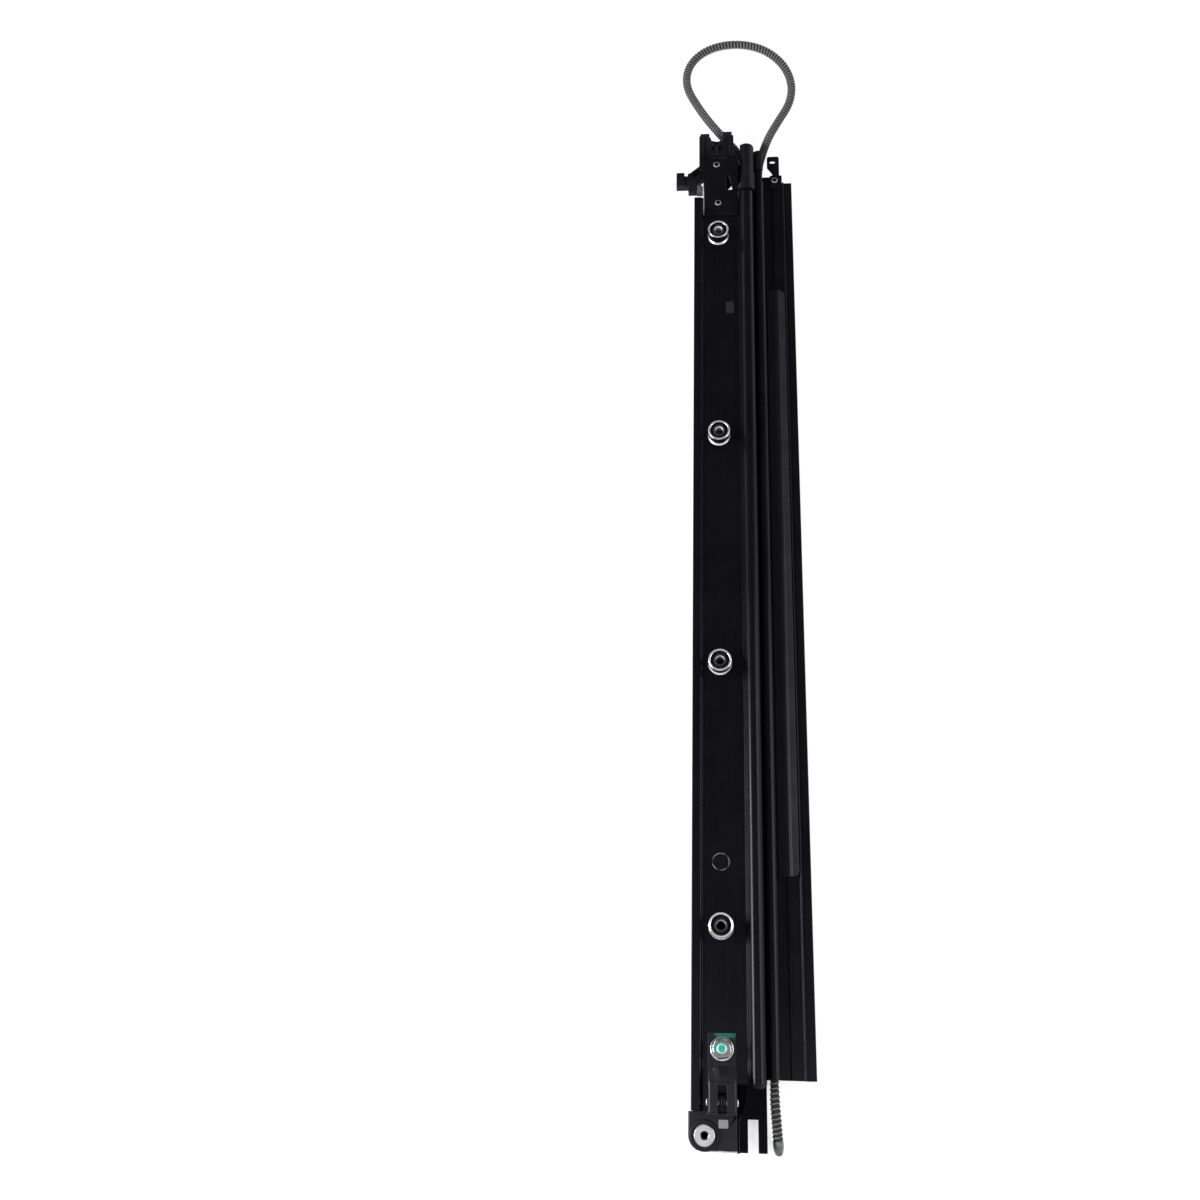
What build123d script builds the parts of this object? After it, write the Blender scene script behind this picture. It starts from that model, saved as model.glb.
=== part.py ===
from build123d import *
import math
import os

# Right-hand guide track of a sliding sunroof, lying with its mounting bushes upwards.
# All sizes are in millimetres. X runs across the rail from its left outer edge,
# Y runs along the rail from its rear end, and Z rises from the surface it lies on.
# The finished pieces are moved together so that the origin is under the middle of the track.

# Rail section, across
rail_width = 72.0
rail_wall = 2.0
strip_width = 5.4
strip_slope = 1.3
ledge_left = 32.4
drive_tube_x = 38.4
drive_tube_r = 4.9
return_tube_x = 47.6
return_tube_r = 4.0
middle_leg_left = 44.0
trough_step_left = 57.2
rib_left = 65.0
rib_width = 1.2
lip_width = 4.5
edge_break = 0.4

# Rail section, heights
flange_top = 18.0
strip_rise = 1.6
ledge_rise = 0.9
drive_tube_z = 17.6
return_tube_z = 13.5
trough_floor = 10.5
trough_step = 0.8
rib_rise = 2.2
outer_flange_rise = 0.9
lip_thickness = 1.8
web_top = 14.2
web_thickness = 1.8

# Rail ends, along
flange_rear = 20.4
flange_length = 629.6
drive_tube_setback = 14.6
return_tube_setback = 17.4
fork_bay_left = 26.4
drive_tube_reach = 10.0
return_tube_reach = 28.0
return_side_reach = 14.0
trough_reach = 23.2
outer_flange_reach = 16.4

# Holes and marks in the rail
window_left = 22.8
window_width = 5.5
window_setback = 100.1
window_length = 10.8
plug_hole_r = 5.4
plug_setback = 140.6
edge_notch_left = 2.4
edge_notch_width = 3.4
edge_notch_setback = 90.0
edge_notch_length = 17.0
edge_notch_depth = 0.7

# Drive cable
cable_diameter = 5.6
cable_clearance = 0.3
drive_slot_width = 3.4
ferrule_length = 8.4
ferrule_tip_r = 2.1

# Mounting bushes
bush_count = 4
bush_x = 17.6
bush_rear_setback = 102.1
bush_front_setback = 34.3
collar_foot_r = 7.85
collar_ring_r = 7.5
collar_waist_r = 6.5
collar_bore_r = 5.9
collar_spigot_r = 6.25
collar_lip_r = 6.8
collar_height = 8.7
sleeve_outer_r = 4.0
sleeve_bore_r = 2.75
sleeve_proud = 0.9
sleeve_height = 8.2
fit_gap = 0.05
edge_chamfer = 0.4

# Runner strip in the outer trough
runner_setback = 133.2
runner_length = 418.0
runner_left = 51.9
runner_web = 0.9
runner_pad_left = 60.3
runner_pad_rise = 2.0
runner_end_slant = 3.5
runner_side_gap = 0.15

# Front bracket, folded sheet
sheet = 1.5
bracket_left = 6.7
bracket_right = 32.0
bracket_lap = 16.5
bracket_foot = 21.5
bracket_joggle = 15.4
bracket_plate = 12.9
bracket_rise = 5.4
bracket_cut_left = 23.8
bracket_cut_width = 4.6
bracket_cut_length = 10.4
bracket_corner_r = 1.2
rivet_head_r = 2.7
rivet_bore_r = 1.3
rivet_shank_r = 1.9
rivet_head = 0.8
rivet_flare = 0.7
rail_rivet_x = 17.6
rail_rivet_setback = 5.8
guide_rivet_x = 16.5
guide_rivet_setback = 9.0

# Cable guide block under the front bracket
guide_left = 3.7
guide_width = 25.5
guide_lap = 12.8
guide_length = 31.0
guide_slab = 3.0
guide_spine_width = 11.3
guide_spine_length = 15.5
guide_tongue_top = 11.8
guide_tongue = 1.8
guide_tongue_width = 23.3
guide_tongue_length = 11.0
prong_width = 6.8
left_prong_inset = 0.8
left_prong_reach = 3.4
right_prong_inset = 1.2
right_prong_reach = 4.7
funnel_depth = 9.0
guide_cheek_rise = 1.6

# Hood over the front ends of the two cable tubes
hood_lap = 5.4
hood_length = 40.0
hood_wall = 0.8
hood_lip = 0.5
hood_lip_length = 2.4
hood_cover_lap = 3.0
hood_cover_length = 16.8
hood_drop = 1.6

# Tab plate on the trough floor
tab_sheet = 1.2
tab_lap = 11.8
tab_foot_length = 11.5
tab_length = 29.0
tab_foot_width = 8.8
tab_side_gap = 0.2
tab_neck_inset = 1.7
tab_neck_width = 5.3
tab_head_width = 9.0
tab_head_length = 10.0
tab_head_slope = 5.5
tab_corner_r = 1.6
tab_hole_inset = 4.9
tab_hole_setback = 5.1
tab_hole_width = 4.4
tab_hole_height = 2.6
tab_rivet_inset = 5.2
tab_rivet_setback = 4.9

# Front lever
lever_pivot_inset = 7.8
lever_pivot_setback = 5.5
lever_boss_r = 4.4
lever_bottom = 13.6
lever_thickness = 5.2
lever_pin_r = 2.0
pivot_clearance = 0.05
lever_pin_head_r = 3.6
lever_pin_head = 1.3
knob_reach = 24.9
knob_width = 6.0
knob_length = 11.9
knob_drop = 15.3
knob_rise = 1.6
knob_notch = 2.4
lever_leg_reach = 16.0
lever_leg_width = 6.4
lever_leg_length = 4.8
bumper_width = 4.4
bumper_length = 6.3
bumper_height = 4.2
bumper_rib = 0.8
bumper_ribs = 4

# Rear bracket, one pressing: pad, hump and end plate
pad_left = 9.7
pad_width = 16.2
pad_length = 17.9
hump_width = 16.4
hump_setback = 2.0
hump_top_length = 18.1
hump_slope_length = 8.1
hump_height = 11.0
hump_corner_r = 2.6
end_plate_left = -1.4
end_plate_width = 27.6
end_plate_rear = -1.0
end_plate_gap = 0.15
end_bush_x = 7.8
end_bush_y = 7.6
square_hole_x = 18.4
square_hole_y = 13.8
square_hole_width = 5.3
square_hole_length = 4.5
bracket_bolt_setback = 8.8
bolt_r = 3.0
bolt_hole_clearance = 0.3
bolt_head_r = 6.0
bolt_head = 1.6
bolt_proud = 1.6
nut_height = 6.0
nut_across_flats = 10.0
nut_flange_r = 6.9
nut_flange = 1.3
thread_gap = 0.04

# Roller and its cross pin in the hump
roller_setback = 6.8
roller_rise = 5.6
roller_r = 5.1
roller_width = 4.4
roller_slot_width = 5.1
roller_slot_length = 15.8
roller_pin_r = 1.6
roller_pin_head_r = 2.3
roller_pin_head = 1.0
roller_bore_clearance = 0.06

# Rear bush, a rubber grommet with a flanged sleeve
grommet_r = 8.5
grommet_neck_r = 5.6
grommet_bore_r = 3.6
grommet_above = 1.5
grommet_below = 2.2
end_sleeve_bore_r = 2.0
end_sleeve_flange_r = 6.0
end_sleeve_flange = 1.0

# Carriage under the flange
carriage_rear = -1.2
carriage_length = 151.2
fork_side_gap = 0.75
fork_width = 15.9
fork_slot_width = 6.0
fork_slot_depth = 17.7
fork_bar_length = 61.2
fork_top = 11.6
carriage_bottom = 3.2
carriage_plate_left = 9.2
carriage_plate_width = 27.4
carriage_plate_rear = 40.0
carriage_plate_top = 8.6
tongue_reach = 4.0
tongue_bottom = 4.4
tongue_top = 7.2
shoe_length = 18.0
shoe_end_margin = 6.0
shoe_width = 6.2
shoe_left_top = 15.6
shoe_gap = 0.35
driver_rear = 40.0
driver_length = 20.0
driver_blade_gap = 0.3
driver_foot_width = 8.0
driver_foot = 0.9
driver_tooth_pitch = 2.5
driver_tooth_depth = 0.6
tube_plug_head_r = 3.9
tube_plug_head = 2.4
tube_plug_stem = 7.0

# Travel of the moving pieces
carriage_travel = 430.0
lever_swing = 28.0

# Derived places along the rail
flange_front = flange_rear + flange_length
window_rear = flange_front - window_setback
edge_notch_rear = flange_front - edge_notch_setback
plug_y = flange_rear + plug_setback
bush_first_y = flange_rear + bush_rear_setback
bush_pitch = (flange_length - bush_rear_setback - bush_front_setback) / (bush_count - 1)
drive_tube_rear = flange_rear + drive_tube_setback
return_tube_rear = flange_rear + return_tube_setback
drive_tube_front = flange_front + drive_tube_reach
return_tube_front = flange_front + return_tube_reach
return_side_front = flange_front + return_side_reach
trough_front = flange_front + trough_reach
outer_flange_front = flange_front + outer_flange_reach
runner_rear = flange_rear + runner_setback
runner_front = runner_rear + runner_length
bracket_rear = flange_front - bracket_lap
bracket_bend_rear = bracket_rear + bracket_foot
bracket_bend_front = bracket_bend_rear + bracket_joggle
bracket_front = bracket_bend_front + bracket_plate
rail_rivet_y = flange_front - rail_rivet_setback
guide_rivet_y = bracket_front - guide_rivet_setback
guide_rear = bracket_front - guide_lap
guide_front = guide_rear + guide_length
guide_right = guide_left + guide_width
hood_rear = drive_tube_front - hood_lap
hood_front = hood_rear + hood_length
hood_cover_rear = return_tube_front - hood_cover_lap
hood_cover_front = hood_cover_rear + hood_cover_length
tab_rear = trough_front - tab_lap
tab_front = tab_rear + tab_length
tab_right = rib_left - tab_side_gap
tab_rivet_x = tab_right - tab_rivet_inset
tab_rivet_y = trough_front - tab_rivet_setback
lever_pivot_x = guide_left + lever_pivot_inset
lever_pivot_y = guide_rear + lever_pivot_setback
lever_leg_left = lever_pivot_x - lever_leg_reach
lever_leg_right = lever_leg_left + lever_leg_width
knob_left = lever_pivot_x - knob_reach
knob_right = knob_left + knob_width
knob_rear = lever_pivot_y - knob_drop
knob_front = knob_rear + knob_length
lever_leg_rear = knob_rear - lever_leg_length
hump_left = pad_left
hump_right = hump_left + hump_width
hump_rear = flange_rear - hump_setback
hump_front_top = hump_rear + hump_top_length
hump_front_foot = hump_front_top + hump_slope_length
pad_right = pad_left + pad_width
pad_front = hump_front_foot + pad_length
bracket_bolt_x = (pad_left + pad_right) / 2
bracket_bolt_y = pad_front - bracket_bolt_setback
end_plate_right = end_plate_left + end_plate_width
end_plate_front = flange_rear - end_plate_gap
roller_y = hump_rear + roller_setback
fork_right = middle_leg_left - fork_side_gap
fork_left = fork_right - fork_width
fork_slot_middle = (fork_left + fork_right) / 2
fork_slot_root = carriage_rear + fork_slot_depth
fork_bar_front = carriage_rear + fork_bar_length
carriage_front = carriage_rear + carriage_length
carriage_plate_right = carriage_plate_left + carriage_plate_width

# Derived sizes
cable_r = cable_diameter / 2
cable_bore_r = cable_r + cable_clearance
flange_under = flange_top - rail_wall
strip_top = flange_top + strip_rise
trough_under = trough_floor - rail_wall
outer_flange_top = trough_floor + outer_flange_rise
pad_top = flange_top + sheet
upper_plate_under = flange_top + bracket_rise
guide_top = upper_plate_under
lever_top = lever_bottom + lever_thickness
bush_ys = [bush_first_y + bush_pitch * step for step in range(bush_count)]

# Route of the free loop, from the return tube's mouth to the drive tube's mouth
loop_route = [
    (return_tube_x, return_side_front, return_tube_z),
    (return_tube_x, 680.0, return_tube_z),
    (54.2, 705.5, 12.0),
    (63.5, 727.5, 7.4),
    (73.0, 747.0, 4.2),
    (75.6, 766.5, 2.95),
    (70.0, 786.0, 2.9),
    (56.5, 801.8, 2.9),
    (38.5, 809.6, 2.9),
    (18.5, 809.2, 2.9),
    (2.5, 800.6, 2.9),
    (-6.5, 786.0, 2.95),
    (-7.0, 768.0, 3.6),
    (0.5, 748.5, 6.6),
    (10.0, 727.5, 11.4),
    (21.0, 708.0, 15.4),
    (32.5, 692.0, 16.6),
    (drive_tube_x, 676.0, drive_tube_z),
    (drive_tube_x, drive_tube_front, drive_tube_z),
]

# Route of the cable's tail behind the return tube, down to its ferrule
tail_route = [
    (return_tube_x, return_tube_rear, return_tube_z),
    (return_tube_x, 27.0, return_tube_z),
    (48.4, 16.5, 10.9),
    (49.3, 5.6, 5.9),
]


def block(x_low, x_high, y_low, y_high, z_low, z_high):
    """A box given by its two extreme corners."""
    middle = Pos((x_low + x_high) / 2, (y_low + y_high) / 2, (z_low + z_high) / 2)
    return middle * Box(x_high - x_low, y_high - y_low, z_high - z_low)


def bar(x_low, z_low, x_high, z_high):
    """A rectangle of the rail's section."""
    return Pos((x_low + x_high) / 2, (z_low + z_high) / 2) * Rectangle(x_high - x_low, z_high - z_low)


def outline(*points):
    """A flat face through the given corner points, facing up whichever way round they run."""
    face = Polygon(*points, align=None)
    if face.face().normal_at().Z > 0:
        return face
    return Polygon(*reversed(points), align=None)


def along(section, y_low, y_high):
    """A section in X and Z, extruded along the rail."""
    return extrude(Plane.XZ.offset(-y_low) * section, amount=y_high - y_low, dir=(0, 1, 0))


def across(section, x_low, x_high):
    """A section in Y and Z, extruded across the rail."""
    return extrude(Plane.YZ.offset(x_low) * section, amount=x_high - x_low, dir=(1, 0, 0))


def upwards(section, z_low, z_high):
    """A plan outline, extruded upwards."""
    return extrude(Pos(0, 0, z_low) * section, amount=z_high - z_low, dir=(0, 0, 1))


def turned(profile, x, y, z):
    """A profile of (radius, height) points, turned about a vertical axis."""
    return Pos(x, y, z) * revolve(Plane.XZ * outline(*profile), Axis.Z)


def post(x, y, radius, z_low, z_high):
    """An upright cylinder."""
    return Pos(x, y, (z_low + z_high) / 2) * Cylinder(radius, z_high - z_low)


def rod_along(x, z, radius, y_low, y_high):
    """A cylinder that lies along the rail."""
    return along(Pos(x, z) * Circle(radius), y_low, y_high)


def rod_across(y, z, radius, x_low, x_high):
    """A cylinder that lies across the rail."""
    return across(Pos(y, z) * Circle(radius), x_low, x_high)


# Guide rail

def rail_section():
    """The extruded section: two hooked channels below, two cable tubes and a trough above."""
    strip = outline(
        (0, flange_under),
        (0, strip_top - edge_break),
        (edge_break, strip_top),
        (strip_width, strip_top),
        (strip_width + strip_slope, flange_top),
        (strip_width + strip_slope, flange_under),
    )
    ledge = outline(
        (ledge_left, flange_top),
        (ledge_left + edge_break, flange_top + ledge_rise),
        (drive_tube_x, flange_top + ledge_rise),
        (drive_tube_x, flange_top),
    )
    flange = bar(strip_width, flange_under, drive_tube_x, flange_top)
    left_leg = bar(0, 0, rail_wall, flange_top)
    left_lip = bar(0, 0, rail_wall + lip_width, lip_thickness)
    middle_leg_right = middle_leg_left + rail_wall
    middle_leg = bar(middle_leg_left, 0, middle_leg_right, return_tube_z)
    middle_lips = bar(middle_leg_left - lip_width, 0, middle_leg_right + lip_width, lip_thickness)
    web = bar(drive_tube_x + 1, web_top - web_thickness, return_tube_x - 1, web_top)
    floor = bar(return_tube_x, trough_under, rail_width - rail_wall, trough_floor)
    step_right = rib_left + rib_width / 2
    floor_step = outline(
        (trough_step_left, trough_floor),
        (trough_step_left + edge_break, trough_floor + trough_step),
        (step_right, trough_floor + trough_step),
        (step_right, trough_floor),
    )
    rib_top = trough_floor + rib_rise
    rib = outline(
        (rib_left, trough_floor),
        (rib_left, rib_top - edge_break),
        (rib_left + edge_break, rib_top),
        (rib_left + rib_width - edge_break, rib_top),
        (rib_left + rib_width, rib_top - edge_break),
        (rib_left + rib_width, trough_floor),
    )
    outer_flange = outline(
        (rib_left, trough_under),
        (rib_left, outer_flange_top),
        (rail_width - edge_break, outer_flange_top),
        (rail_width, outer_flange_top - edge_break),
        (rail_width, trough_under),
    )
    right_leg = bar(rail_width - rail_wall, 0, rail_width, trough_floor)
    right_lip = bar(rail_width - rail_wall - lip_width, 0, rail_width, lip_thickness)
    drive_tube = Pos(drive_tube_x, drive_tube_z) * Circle(drive_tube_r)
    return_tube = Pos(return_tube_x, return_tube_z) * Circle(return_tube_r)
    walls = strip + ledge + flange + left_leg + left_lip + middle_leg + middle_lips + web + floor
    walls = walls + floor_step + rib + outer_flange + right_leg + right_lip + drive_tube + return_tube
    drive_bore = Pos(drive_tube_x, drive_tube_z) * Circle(cable_bore_r)
    return_bore = Pos(return_tube_x, return_tube_z) * Circle(cable_bore_r)
    slot_half = drive_slot_width / 2
    slot_bottom = drive_tube_z - drive_tube_r - rail_wall
    drive_slot = bar(drive_tube_x - slot_half, slot_bottom, drive_tube_x + slot_half, drive_tube_z)
    return walls - drive_bore - return_bore - drive_slot


def rail_end_cuts():
    """What is milled off the square ends of the extrusion."""
    past = 1.0
    tubes_between = (drive_tube_x + drive_tube_r + return_tube_x - return_tube_r) / 2
    tube_left = ledge_left - past
    high = strip_top + collar_height
    fork_bay = block(fork_bay_left, tubes_between, flange_rear - past, drive_tube_rear, -past, high)
    trough_rear = block(tubes_between, rail_width + past, flange_rear - past, return_tube_rear, -past, high)
    flange_end = block(-past, tube_left + past, flange_front, return_tube_front + past, -past, high)
    tube_end = block(tube_left, tubes_between, drive_tube_front, return_tube_front + past, -past, high)
    return_right = return_tube_x + return_tube_r + fit_gap
    floor_end = block(return_right, rib_left, trough_front, return_tube_front + past, -past, high)
    outer_end = block(rib_left, rail_width + past, outer_flange_front, return_tube_front + past, -past, high)
    side_low = trough_floor + fit_gap
    side_high = return_tube_z + cable_bore_r + fit_gap
    mouth = block(return_tube_x, return_right, return_side_front, return_tube_front + past, side_low, side_high)
    below = return_tube_z - cable_r
    foot = block(tubes_between, return_right, trough_front, return_tube_front + past, -past, below)
    return [fork_bay, trough_rear, flange_end, tube_end, floor_end, outer_end, mouth, foot]


def rail_holes():
    """The bush, bolt, rivet, plug and window holes of the rail."""
    low = flange_under - 1
    high = strip_top + 1
    holes = [post(bush_x, y, collar_spigot_r + fit_gap, low, high) for y in bush_ys]
    holes.append(post(bracket_bolt_x, bracket_bolt_y, bolt_r + bolt_hole_clearance, low, high))
    holes.append(post(rail_rivet_x, rail_rivet_y, rivet_shank_r + fit_gap, low, high))
    holes.append(post(bush_x, plug_y, plug_hole_r + fit_gap, low, high))
    holes.append(post(tab_rivet_x, tab_rivet_y, rivet_shank_r + fit_gap, trough_under - 1, trough_floor + 2))
    window_right = window_left + window_width
    holes.append(block(window_left, window_right, window_rear, window_rear + window_length, low, high))
    notch_right = edge_notch_left + edge_notch_width
    notch_front = edge_notch_rear + edge_notch_length
    notch_floor = strip_top - edge_notch_depth
    holes.append(block(edge_notch_left, notch_right, edge_notch_rear, notch_front, notch_floor, high))
    return holes


def make_rail():
    """The black extruded rail with its milled ends and punched holes."""
    rail = along(rail_section(), flange_rear, return_tube_front)
    for cut in rail_end_cuts() + rail_holes():
        rail = rail - cut
    return rail


# Mounting bushes

def make_bush_collar(x, y):
    """The zinc collar that is swaged into the flange."""
    lip_low = -rail_wall - 0.7
    profile = [
        (collar_bore_r, lip_low),
        (collar_lip_r, lip_low),
        (collar_lip_r, -rail_wall),
        (collar_spigot_r, -rail_wall),
        (collar_spigot_r, 0),
        (collar_foot_r, 0),
        (collar_foot_r, 0.7),
        (collar_foot_r - 0.4, 1.2),
        (collar_waist_r, 1.4),
        (collar_waist_r, collar_height - 2.3),
        (collar_ring_r - 0.3, collar_height - 1.9),
        (collar_ring_r, collar_height - 1.5),
        (collar_ring_r, collar_height - 0.3),
        (collar_ring_r - 0.3, collar_height),
        (collar_ring_r - 1.0, collar_height),
        (collar_bore_r, collar_height - 1.1),
    ]
    return turned(profile, x, y, flange_top)


def make_bush_rubber(x, y):
    """The rubber ring between a collar and its sleeve."""
    inner = sleeve_outer_r + fit_gap
    outer = collar_bore_r - fit_gap
    profile = [
        (inner, -rail_wall - 0.5),
        (outer, -rail_wall - 0.5),
        (outer, collar_height - 2.1),
        (outer - 0.6, collar_height - 1.6),
        (inner + 0.5, collar_height - 1.6),
        (inner, collar_height - 1.1),
    ]
    return turned(profile, x, y, flange_top)


def tube_profile(bore, outer, low, high):
    """The section of a plain sleeve with broken edges at its bore."""
    return [
        (bore, low + edge_chamfer),
        (bore + edge_chamfer, low),
        (outer, low),
        (outer, high),
        (bore + edge_chamfer, high),
        (bore, high - edge_chamfer),
    ]


def make_bush_sleeve(x, y):
    """The steel sleeve that takes the roof frame's bolt."""
    low = -rail_wall - sleeve_proud
    return turned(tube_profile(sleeve_bore_r, sleeve_outer_r, low, sleeve_height), x, y, flange_top)


def make_hole_plug():
    """The flush plug in the spare hole behind the rearmost bush."""
    low = -rail_wall - 0.8
    profile = [
        (0, low),
        (plug_hole_r + 0.6, low),
        (plug_hole_r + 0.6, -rail_wall),
        (plug_hole_r, -rail_wall),
        (plug_hole_r, -0.25),
        (plug_hole_r - 0.25, 0),
        (0, 0),
    ]
    return turned(profile, bush_x, plug_y, flange_top)


# Runner strip

def make_runner():
    """The moulded runner strip in the outer trough, slanted in front and round behind."""
    floor = trough_floor
    step = trough_floor + trough_step
    pad_top_z = floor + runner_pad_rise + runner_web
    right = rib_left - runner_side_gap
    section = outline(
        (runner_left, floor),
        (trough_step_left, floor),
        (trough_step_left + edge_break, step),
        (right, step),
        (right, pad_top_z - edge_break),
        (right - edge_break, pad_top_z),
        (runner_pad_left + edge_break, pad_top_z),
        (runner_pad_left, pad_top_z - edge_break),
        (runner_pad_left - runner_web, step + runner_web),
        (trough_step_left, step + runner_web * 0.6),
        (runner_left + edge_break, floor + runner_web),
        (runner_left, floor + runner_web * 0.5),
    )
    strip = along(section, runner_rear, runner_front)
    corner = outline(
        (right + 1, runner_front - runner_end_slant),
        (right + 1, runner_front + 1),
        (runner_pad_left, runner_front + 1),
        (runner_pad_left, runner_front),
    )
    strip = strip - upwards(corner, floor - 1, pad_top_z + 1)
    round_r = runner_end_slant
    square = block(right - round_r, right + 1, runner_rear - 1, runner_rear + round_r, floor - 1, pad_top_z + 1)
    rounding = post(right - round_r, runner_rear + round_r, round_r, floor - 2, pad_top_z + 2)
    return strip - (square - rounding)


# Front bracket and what it holds

def make_rivet(x, y, grip_low, grip_high):
    """A hollow rivet through the sheets between two heights, with its flare below."""
    profile = [
        (rivet_bore_r, grip_low - rivet_flare),
        (rivet_head_r - 0.4, grip_low - rivet_flare),
        (rivet_head_r - 0.2, grip_low),
        (rivet_shank_r, grip_low),
        (rivet_shank_r, grip_high),
        (rivet_head_r, grip_high),
        (rivet_head_r, grip_high + rivet_head * 0.5),
        (rivet_head_r - 0.5, grip_high + rivet_head),
        (rivet_bore_r + 0.5, grip_high + rivet_head),
        (rivet_bore_r, grip_high + rivet_head * 0.5),
    ]
    return turned(profile, x, y, 0)


def make_front_bracket():
    """The folded sheet bracket that steps up from the flange to carry the cable guide."""
    low = flange_top
    high = flange_top + bracket_rise
    side = outline(
        (bracket_rear, low),
        (bracket_bend_rear, low),
        (bracket_bend_front, high),
        (bracket_front, high),
        (bracket_front, high + sheet),
        (bracket_bend_front - sheet * 0.3, high + sheet),
        (bracket_bend_rear - sheet * 0.3, low + sheet),
        (bracket_rear, low + sheet),
    )
    bracket = across(side, bracket_left, bracket_right)
    bracket = fillet(bracket.edges().filter_by(Axis.Z).sort_by(Axis.Y)[:2], bracket_corner_r)
    cut = outline(
        (bracket_cut_left, bracket_bend_rear + 0.6),
        (bracket_cut_left + bracket_cut_width, bracket_bend_rear + 0.6),
        (bracket_cut_left + bracket_cut_width * 0.35, bracket_bend_rear + 0.6 + bracket_cut_length),
        (bracket_cut_left, bracket_bend_rear + 0.6 + bracket_cut_length),
    )
    bracket = bracket - upwards(cut, low - 1, high + sheet + 1)
    for x, y in ((rail_rivet_x, rail_rivet_y), (guide_rivet_x, guide_rivet_y)):
        bracket = bracket - post(x, y, rivet_shank_r + fit_gap, low - 1, high + sheet + 1)
    return bracket


def make_cable_guide():
    """The moulded block that leads the cable round to the drive tube."""
    slab_low = guide_top - guide_slab
    body = block(guide_left, guide_right, guide_rear, guide_front, slab_low, guide_top)
    tongue_low = guide_tongue_top - guide_tongue
    spine_right = guide_left + guide_spine_width
    spine = block(guide_left, spine_right, guide_front - guide_spine_length, guide_front, tongue_low, guide_top)
    tongue_right = guide_left + guide_tongue_width
    tongue_rear = guide_front - guide_tongue_length
    tongue = block(guide_left, tongue_right, tongue_rear, guide_front, tongue_low, guide_tongue_top)
    left_prong_x = guide_left + left_prong_inset
    left_prong_right = left_prong_x + prong_width
    left_prong_tip = guide_front + left_prong_reach
    right_prong_x = guide_right - right_prong_inset - prong_width
    right_prong_tip = guide_front + right_prong_reach
    left_prong = block(left_prong_x, left_prong_right, guide_front - 1, left_prong_tip, slab_low - 2, guide_top)
    right_prong_right = right_prong_x + prong_width
    right_prong = block(right_prong_x, right_prong_right, guide_front - 1, right_prong_tip, slab_low, guide_top)
    guide = body + spine + tongue + left_prong + right_prong
    cheek_low = bracket_front + fit_gap
    cheek_top = guide_top + guide_cheek_rise
    cheek_width = 3.2
    guide = guide + block(guide_left, guide_left + cheek_width, cheek_low, guide_front, guide_top, cheek_top)
    guide = guide + block(guide_right - cheek_width, guide_right, cheek_low, guide_front, guide_top, cheek_top)
    mouth_left = left_prong_right + 0.6
    mouth = outline(
        (mouth_left, guide_front + 1),
        (right_prong_x, guide_front + 1),
        (right_prong_x - 0.8, guide_front - funnel_depth * 0.5),
        (mouth_left + 3.4, guide_front - funnel_depth),
        (mouth_left + 1.6, guide_front - funnel_depth * 0.6),
    )
    guide = guide - upwards(mouth, slab_low - 1, cheek_top + 1)
    for x in (mouth_left + 1.2, right_prong_x - 2.6):
        guide = guide + block(x, x + 1.3, guide_front - funnel_depth, guide_front - 3.0, slab_low, guide_top - 0.6)
    guide = guide - post(guide_rivet_x, guide_rivet_y, rivet_shank_r + fit_gap, slab_low - 1, guide_top + 1)
    flare_pocket = post(guide_rivet_x, guide_rivet_y, rivet_head_r, slab_low - 1, slab_low)
    pin_hole = post(lever_pivot_x, lever_pivot_y, lever_pin_r + fit_gap, slab_low - 1, guide_top - 0.5)
    return guide - flare_pocket - pin_hole


def half_shell(x, z, inner, outer, y_low, y_high, drop):
    """A tube's upper half with straight sides that reach down a little."""
    ring = Pos(x, z) * Circle(outer) + bar(x - outer, z - drop, x + outer, z)
    hollow = Pos(x, z) * Circle(inner) + bar(x - inner, z - drop - 1, x + inner, z)
    lower = bar(x - outer - 1, z - outer - 1, x + outer + 1, z - drop)
    return along(ring - hollow - lower, y_low, y_high)


def make_hood():
    """The moulded hood over the tube ends, open to each side where the cable leaves."""
    drive_inner = drive_tube_r + fit_gap
    drive_outer = drive_inner + hood_wall
    return_inner = return_tube_r + fit_gap
    return_outer = return_inner + hood_wall
    hood = half_shell(drive_tube_x, drive_tube_z, drive_inner, drive_outer, hood_rear, hood_front, 0.0)
    lip_end = hood_rear + hood_lip_length
    lip_outer = drive_outer + hood_lip
    hood = hood + half_shell(drive_tube_x, drive_tube_z, drive_inner, lip_outer, hood_rear, lip_end, 0.0)
    skirt_low = drive_tube_z - hood_drop
    skirt_left = drive_tube_x + drive_inner
    skirt_right = drive_tube_x + drive_outer
    hood = hood + block(skirt_left, skirt_right, hood_cover_rear, hood_cover_front, skirt_low, drive_tube_z)
    cover = half_shell(return_tube_x, return_tube_z, return_inner, return_outer, hood_cover_rear, hood_cover_front, 0.0)
    drive_space = rod_along(drive_tube_x, drive_tube_z, drive_inner, hood_rear - 1, hood_front + 1)
    web_space = block(drive_tube_x, return_tube_x, hood_rear - 1, return_tube_front + 1, 0, web_top + fit_gap)
    hood = hood + (cover - drive_space - web_space)
    ledge_clear = flange_top + ledge_rise + fit_gap
    ledge_space = block(ledge_left - 2, drive_tube_x, hood_rear - 1, drive_tube_front + 1, 0, ledge_clear)
    drive_exit_low = drive_tube_z - drive_outer
    drive_exit_high = drive_tube_z + cable_r + 1.0
    drive_exit = block(ledge_left - 2, drive_tube_x, drive_tube_front + 1, hood_front + 1, drive_exit_low, drive_exit_high)
    return_exit_high = return_tube_z + cable_r + 0.6
    return_exit_right = return_tube_x + return_outer + 1
    return_exit = block(return_tube_x, return_exit_right, hood_cover_rear - 1, hood_front + 1, 0, return_exit_high)
    return hood - ledge_space - drive_exit - return_exit


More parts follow.
